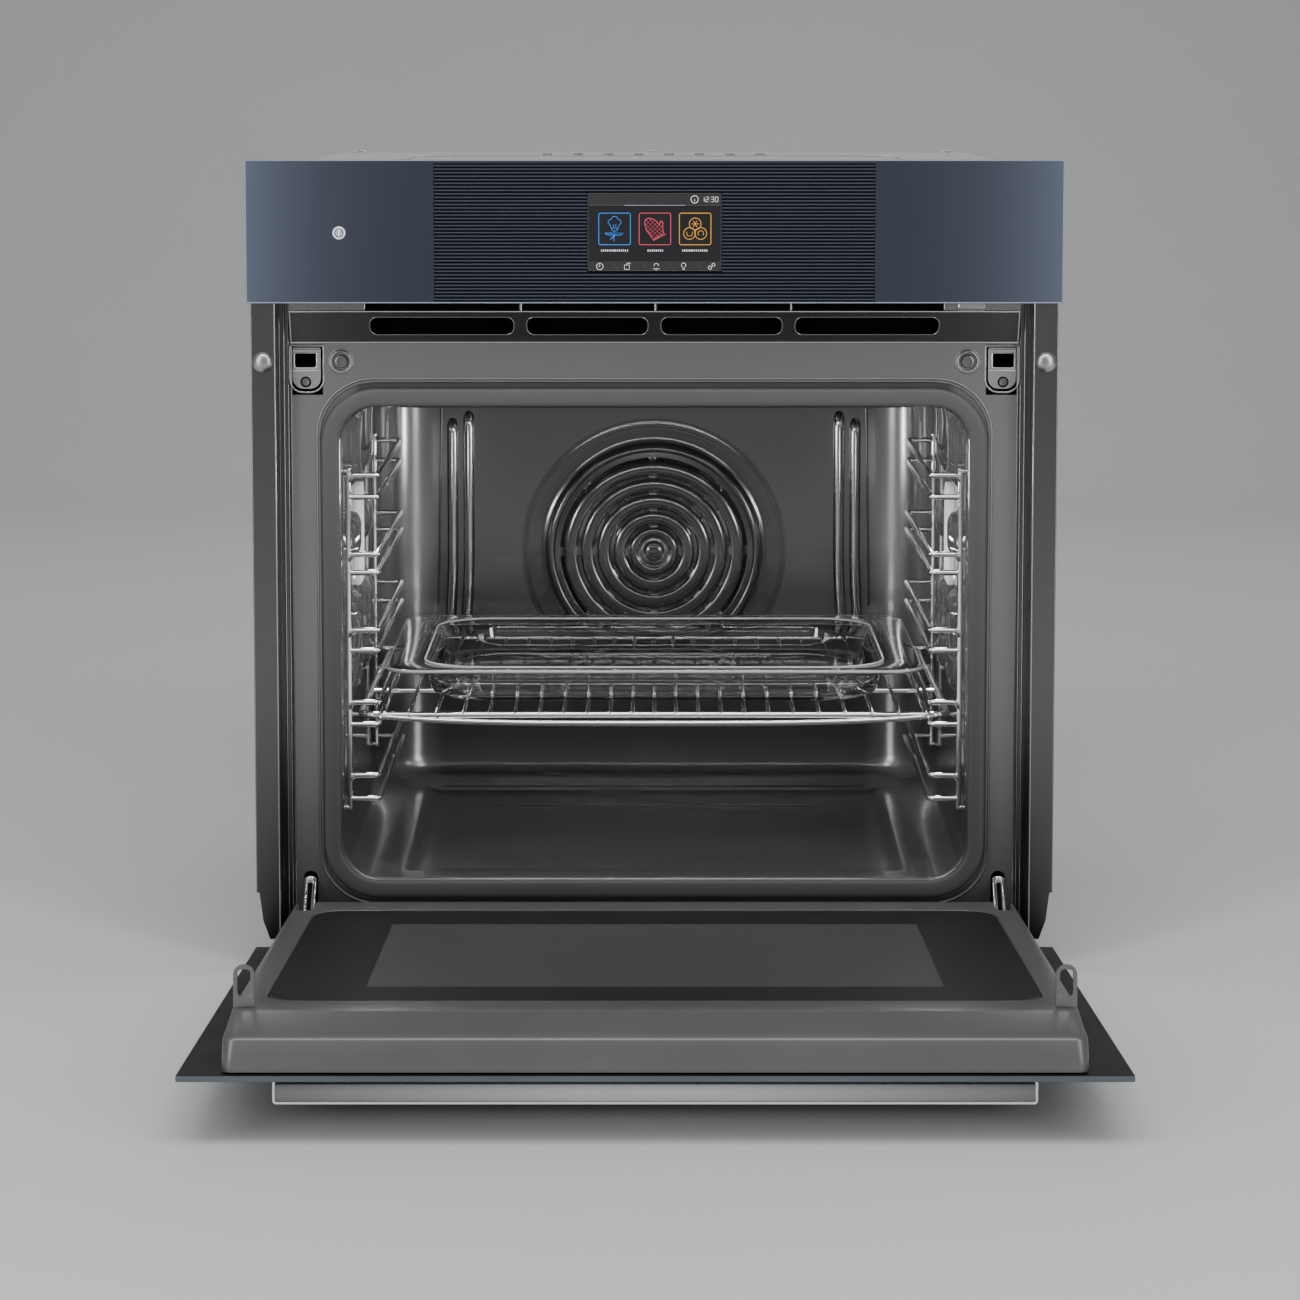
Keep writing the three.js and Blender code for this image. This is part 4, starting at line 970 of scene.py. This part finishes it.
def cover_height(radius):
    """How far the fan's cover stands in front of the back wall: a dished disc with pressed rings."""
    lift = 2.6 * ease((98 - radius) / 12) + 5.0 * max(0.0, 1 - (radius / 90) ** 2)
    lift += ridge(radius, 88.5, 8, 2.4) + ridge(radius, 108, 5, 0.3)
    for outer, inner in COVER_BANDS:
        lift += ridge(radius, (outer + inner) / 2, outer - inner - 2.2, 2.6)
    return lift + ridge(radius, 9.5, 4.4, 1.8) + ridge(radius, 0, 12, 1.2)


def cover_radii():
    """The radii at which the cover's skin has a ring of points, from its edge inwards."""
    radii = [COVER_EDGE - 0.5 - i for i in range(34)] + [10.8 - 0.7 * i for i in range(15)]
    for outer, inner in COVER_BANDS:
        radii += [outer - SLOT_HALF - (outer - inner - 2 * SLOT_HALF) * i / 12 for i in range(13)]
    for radius, _ in SLOT_RINGS:
        radii += [radius + SLOT_HALF, radius - SLOT_HALF]
    radii = sorted({round(r, 2) for r in radii if r > 0.5}, reverse=True)
    return [r for r in radii if not any(abs(r - s) < SLOT_HALF - 0.05 for s, _ in SLOT_RINGS)]


def open_slot(outer, x, z):
    """Whether the cover is open just inside this radius, in this direction."""
    for radius, number in SLOT_RINGS:
        if abs(outer - (radius + SLOT_HALF)) < 0.05:
            share = (math.atan2(z, x) / (2 * math.pi) * number + 0.5 - number / 4) % 1.0
            return abs(share - 0.5) > 3.6 * number / (2 * math.pi * radius)
    return False


def cavity_liner():
    """The enamelled box, from its front flange back to the fan's cover, as one thin pressed skin."""
    half, low, high, radius = MOUTH
    rings = [liner_ring(248.4, 34.6, 425.4, 39.4, y, False) for y in (46.4, 45.4)]
    rings += [liner_ring(half + grow, low - grow, high + grow, radius + grow, y, False)
              for grow, y in ((4.5, 45.3), (2.2, 45.7), (0.7, 47), (0, 49))]
    straight = BACK_Y - BACK_BEND
    steps, bend_steps = 96, 16
    rings += [liner_ring(*MOUTH, 52 + (straight - 52) * i / steps) for i in range(steps + 1)]
    for i in range(1, bend_steps + 1):
        a = math.pi / 2 * i / bend_steps
        shrink = 14 * (1 - math.cos(a))
        rings.append(liner_ring(half - BACK_BEND * (1 - math.cos(a)), low + shrink, high - shrink * 0.1,
                                max(radius - 14 * math.sin(a), 8), straight + BACK_BEND * math.sin(a)))
    edge = [(v.x / MM, (v.z - FOOT_Z) / MM - FAN_Z) for v in rings[-1]]
    toward = [(x / math.hypot(x, z), z / math.hypot(x, z)) for x, z in edge]
    for t in (0.25, 0.5, 0.75, 0.92):
        rings.append([at(x * (1 - t) + COVER_EDGE * u * t, BACK_Y, FAN_Z + z * (1 - t) + COVER_EDGE * v * t)
                      for (x, z), (u, v) in zip(edge, toward)])
    first_fan_ring = len(rings)
    radii = cover_radii()
    rings += [[at(r * u, BACK_Y - cover_height(r), FAN_Z + r * v) for u, v in toward] for r in radii]
    vertices, faces = skin(rings, (False, True))
    count = len(edge)
    kept, fan_faces = [], []
    for face in faces:
        ring_index = face[0] // count
        on_fan = ring_index >= first_fan_ring
        if len(face) == 4 and on_fan:
            if open_slot(radii[ring_index - first_fan_ring], *edge[face[0] % count]):
                continue
        kept.append(face)
        fan_faces.append(on_fan)
    liner = mesh_object("cavity_liner", vertices, kept, ["enamel", "cover"])
    for polygon, on_fan in zip(liner.data.polygons, fan_faces):
        polygon.material_index = int(on_fan)
    smooth(liner, 60)
    thick = liner.modifiers.new("sheet", "SOLIDIFY")
    thick.thickness = 1.1 * MM
    thick.offset = -1.0
    register(liner, ROOT, ["cavity_shell", "fan_cover"])


def back_ribs():
    """Two bright upright ribs each side of the fan's cover, and a fold outside them."""
    paths = []
    for side, _ in SIDES:
        for x, top in ((157.9, 365), (171.7, 359)):
            heights = [top - 3 - (top - 183) * k / 24 for k in range(25)]
            middle = [(side * (x + 5 * ease((250 - z) / 130)), BACK_Y + 1.8, z) for z in heights]
            foot = (middle[-1][0], BACK_Y + 3.8, middle[-1][2] - 4)
            paths.append([(side * x, BACK_Y + 3.8, top), *middle, foot])
    wired("cavity_enamel", "back_ribs", paths, 5.0, "rib", sides=8)
    folds = [[(side * 181, BACK_Y + 0.1, 374), (side * 184, BACK_Y - 0.3, 200)] for side, _ in SIDES]
    wired("cavity_enamel", "back_folds", folds, 1.0, "cover")


def cavity_seal():
    """A hollow-looking lip seal: a rounded band all round the mouth."""
    half, low, high, radius = MOUTH
    profile = [(2.0, 44.7), (1.0, 43.6), (1.1, 42.4), (2.2, 41.4), (4.5, 40.9), (8, 40.6), (11.4, 40.5),
               (13.4, 41.0), (14.6, 42.4), (14.4, 44.7)]
    rings = []
    for grow, y in profile:
        outline = rounded_rect(-half - grow, half + grow, low - grow, high + grow, radius + grow, 14)
        rings.append([at(x, y, z) for x, z in outline])
    seal = smooth(outward(mesh_object("seal_band", *skin(rings, wrap=True), ["seal"])))
    register(seal, ROOT, ["cavity_seal"])


RACK = {"rail": 209, "wall": 231, "front": 75, "back": 346}
RACK_LEVELS = ((106, 124), (163, 180), (219.5, 235), (279, 293), (336.5, 353))
SHELF = {"half": 223.7, "front": 85, "back": 440, "z": 168.4}


def racks():
    """A side rack: two uprights hooked to the wall and five pairs of runners bent from wire."""
    front, back = RACK["front"], RACK["back"]
    for side, name in SIDES:
        wall, rail = side * RACK["wall"], side * RACK["rail"]
        paths = [[(wall, y, 98), (wall, y, 358)] for y in (front, back)]
        for low, high in RACK_LEVELS:
            lower = [(wall, front, low), (rail, front, low), (rail, back, low), (wall, back, low)]
            upper = [(wall, front, high - 5), (wall - side * 2, front - 1, high), (rail, front, high),
                     (rail, back, high), (wall, back, high)]
            paths += [rounded_path(lower, 5), rounded_path(upper, 5)]
        for y in (front, back):
            paths += [[(wall - side, y, z), (side * 233.6, y, z)] for z in (99, 356)]
        wired("chrome_wire", f"rack_wires_{name}", paths, 2.15, "chrome", replaces=[f"rack_{name}"])


def shelf():
    """A chromed grid shelf with a bowed front wire, a raised guard behind and its welds' beads."""
    half, front, back, z = SHELF["half"], SHELF["front"], SHELF["back"], SHELF["z"]

    def chromed(name, paths, radius, replaces=()):
        wired("chrome_wire", name, paths, radius, "chrome", "shelf", replaces)

    border = [(x, y, z) for x, y in rounded_rect(-half, half, front, back, 11, 6)]
    chromed("shelf_frame", [border + border[:1]], 2.7, ["wire_shelf"])
    turns = [k / 12 - 1 for k in range(25)]
    bow = [(206 * u, front - 0.7 - 4 * (1 - u * u), z - 1.1 - 4.6 * (1 - u ** 4)) for u in turns]
    guard = [(-195, back, z), (-195, back + 2, z + 20), (195, back + 2, z + 20), (195, back, z)]
    chromed("shelf_guard", [bow, rounded_path(guard, 8)], 2.3)
    wire_x = [math.copysign(16.2 * abs(i) + 0.245 * i * i, i) for i in range(-11, 12)]
    section = ((front - 1.2, z - 0.6), (front + 1, z + 1.9), (back - 1, z + 1.9), (back + 1.2, z - 0.6))
    chromed("shelf_grid", [[(x, *point) for point in section] for x in wire_x], 1.7)
    chromed("shelf_cross_wires", [[(-half, y, z - 0.3), (half, y, z - 0.3)] for y in (200, 325)], 2.2)
    beads = [[(x - 0.1, front - 3.4, z + 2.2), (x + 0.1, front - 3.4, z + 2.4)] for x in wire_x]
    chromed("shelf_weld_beads", beads, 2.3)


def dish():
    """A pressed glass roasting dish with a flat rim, wider at its two ends."""
    half, front, back, base, rim = 207.5, 100, 390, 172.7, 201
    outside = [(120, 75, base + 0.6, 30), (163, 31, base + 0.3, 40), (168, 26, base, 42),
               (171.5, 22.5, base + 1.2, 44), (174, 20, base + 4, 45), (176.5, 17.5, base + 12, 46),
               (178.5, 15.5, rim - 7, 47), (181, 13, rim - 4.4, 44), (190, 8, rim - 4, 36),
               (half - 2, 1.5, rim - 3.9, 26), (half - 0.3, 0.2, rim - 3, 25), (half, 0, rim - 2, 25)]
    inner = [(half - 0.6, 0.6, rim - 0.5, 25), (half - 2, 2, rim, 25), (190, 9, rim - 0.3, 35),
             (180, 15, rim - 0.9, 44), (176.5, 18, rim - 2.6, 45), (174.3, 20.2, rim - 8, 45),
             (172, 22.5, base + 13, 44), (169, 25.5, base + 6.5, 42), (165.5, 29, base + 4.6, 41),
             (160, 34, base + 4.1, 38), (120, 75, base + 4.4, 30)]
    rings = [[at(a, b, z) for a, b in rounded_rect(-x, x, front + inset, back - inset, radius, 10)]
             for x, inset, z, radius in outside + inner]
    made = smooth(outward(mesh_object("dish_glass", *skin(rings), ["clear"])))
    register(made, "dish", ["glass_dish"])
    # The rim and well lips are near-white, half-clear wires: painted highlights.
    for name, x, inset, down, corner, radius in (("rim", half - 1.3, 1.3, 1.9, 24, 1.35),
                                                 ("well", 178.5, 16.5, 0.8, 44, 0.7)):
        lip = [(a, b, rim - down) for a, b in rounded_rect(-x, x, front + inset, back - inset, corner, 12)]
        wired("clear_glass", f"dish_{name}_edge", [lip], radius, "rim", "dish", cyclic=True)


# ---- Door ----


def pane(name, half, low, high, y0, y1, radius, looks, edge):
    """A glass pane of the door, with the looks of its inner side, its rim and its front."""
    made = extrusion(name, rounded_rect(-half, half, low, high, radius, 6), door_facing, y0, y1, *looks)
    inward = (on_door(0, 1, 0) - on_door(0, 0, 0)).normalized()
    for polygon in made.data.polygons:
        facing_in = polygon.normal.dot(inward)
        polygon.material_index = 0 if facing_in > 0.7 else 2 if facing_in < -0.7 else 1
    return bevel(made, edge, 2)


def door_glasses():
    outer = pane("outer_pane", 298.5, 2, 483, 0, 4, 1.8, ["outer_glass", "glass_edge", "slate"], 0.6)
    register(outer, "door", ["door_outer_glass"])
    looks = ["inner_glass", "glass_edge", "inner_glass"]
    inner = pane("inner_pane", 248.5, 51, 416, 35.5, 38.9, 24, looks, 0.5)
    register(inner, "door", ["door_inner_glass"])


def door_shell():
    """The painted tray behind the outer glass: drafted sides, a sloped top end, a lip round the pane."""
    levels = [(266, 10, 474, 6.5, 5), (270.6, 6.2, 478.8, 5.2, 7), (270.9, 6, 479, 8, 7),
              (270.2, 6.4, 478.4, 24.8, 8), (269.8, 6.8, 476.9, 26.9, 9), (268.9, 7.4, 472, 29.6, 10),
              (267.3, 8.4, 452.6, 37.9, 12), (266.2, 9.2, 449.6, 38.8, 12), (263, 12, 446, 39, 12),
              (252, 47.5, 419.5, 39, 27), (250.3, 49.2, 417.8, 38.6, 25.5), (249.6, 50, 417, 37.8, 24.6),
              (249.4, 50.2, 416.8, 34.6, 24.4), (238, 60, 405, 34.6, 10), (238, 60, 405, 9, 10)]
    rings = [[on_door(x, y, z) for x, z in rounded_rect(-half, half, low, high, radius, 8)]
             for half, low, high, y, radius in levels]
    shell = outward(mesh_object("door_shell", *skin(rings, wrap=True), ["door_paint"]))
    for side, _ in SIDES:
        x = side * HINGE_X
        holed(shell, rounded_rect(x - 6.4, x + 6.4, -5, 50, 2, 3), door_facing, 8, 45)
    register(smooth(shell, 40), "door", ["door_frame", "door_top_rail"])


def handle():
    """A flat brushed bar; a glowing wire along its free edges is a painted highlight."""
    half = 244.2
    section = rounded_rect(-27.2, -12.7, 397.2, 418.8, 2.2, 5)
    bar = extrusion("handle_grip", section, lambda y, z, x: on_door(x, y, z), -half, half, "handle")
    register(bevel(smooth(bar, 40), 0.9, 3), "door", ["handle_bar"])
    x, y, z = 243.7, -26.5, 418.1
    edge = [(-x, -13.2, z), (-x, y + 1, z), (-x + 1, y, z), (x - 1, y, z), (x, y + 1, z), (x, -13.2, z)]
    wired("handle_steel", "handle_highlight_wire", [edge], 0.95, "painted_arris", "door", place=on_door)


# ---- Stage, light and camera ----


def stage():
    """A pale paper floor that sweeps up behind the oven."""
    low = min(CAD_BOUNDS[0][2], at(0, 0, -12).z) - 0.001
    near, bend, radius, top = -6, 2.6, 0.9, low + 5
    quarter = [math.pi / 2 * k / 12 for k in range(1, 13)]
    sweep = [(near, low), (bend, low)]
    sweep += [(bend + radius * math.sin(a), low + radius - radius * math.cos(a)) for a in quarter]
    sweep.append((bend + radius, top))
    vertices = [(x, y, z) for x in (-8, 8) for y, z in sweep]
    n = len(sweep)
    faces = [(i, i + 1, n + i + 1, n + i) for i in range(n - 1)]
    smooth(mesh_object("studio_floor", vertices, faces, ["paper"]))


def area_light(name, where, target, size, power, color=(1, 1, 1)):
    data = bpy.data.lights.new(name, "AREA")
    data.shape = "RECTANGLE"
    data.size, data.size_y = size
    data.energy = power
    data.color = color
    obj = bpy.data.objects.new(name, data)
    obj.location = where
    obj.rotation_euler = (Vector(target) - Vector(where)).to_track_quat("-Z", "Y").to_euler()
    bpy.context.scene.collection.objects.link(obj)


def lights():
    world = bpy.data.worlds.new("studio")
    bpy.context.scene.world = world
    world.use_nodes = True
    sky = world.node_tree.nodes["Background"]
    sky.inputs["Color"].default_value = (0.82, 0.84, 0.87, 1)
    sky.inputs["Strength"].default_value = 0.26
    middle = (0, FACE_Y, 0.3)
    area_light("key_above", (0, FACE_Y - 1.6, 2.5), middle, (2.6, 0.9), 40)
    area_light("strip_left", (-1.25, FACE_Y - 1.7, 0.9), middle, (0.45, 1.7), 15)
    area_light("strip_right", (1.25, FACE_Y - 1.7, 0.9), middle, (0.45, 1.7), 15)
    area_light("back_fill", (0, 2.2, 2.4), (0, 0.1, 0.3), (2.5, 1.0), 22)
    for side, name in SIDES:
        area_light(f"oven_lamp_{name}", at(side * 226, 190, 295), at(0, 190, 240), (0.045, 0.07), 0.55,
                   (1.0, 0.97, 0.93))
    area_light("ceiling_glow", at(0, 78, 404), at(0, 230, 60), (0.36, 0.01), 0.4, (1.0, 0.98, 0.95))


def camera():
    """The camera stands 2.74 m in front of the panel and looks a little down."""
    data = bpy.data.cameras.new("camera")
    data.sensor_width = 36
    data.lens = 103.87
    data.shift_y = -0.15
    obj = bpy.data.objects.new("camera", data)
    obj.location = at(-3.3, -2735.1, 657.7)
    look_down = 5.877
    obj.rotation_euler = (math.radians(90 - look_down), 0, 0)
    bpy.context.scene.collection.objects.link(obj)
    bpy.context.scene.camera = obj


# ---- Everything ----

for build in (camera, stage, lights, dress_kept_nodes, rib_field, display, power_key, casing_details,
              vent_lips, brow_strip, frame_beads, screws, latches, hinge_arms, cavity_liner, back_ribs,
              cavity_seal, racks, shelf, dish, door_glasses, door_shell, handle):
    build()
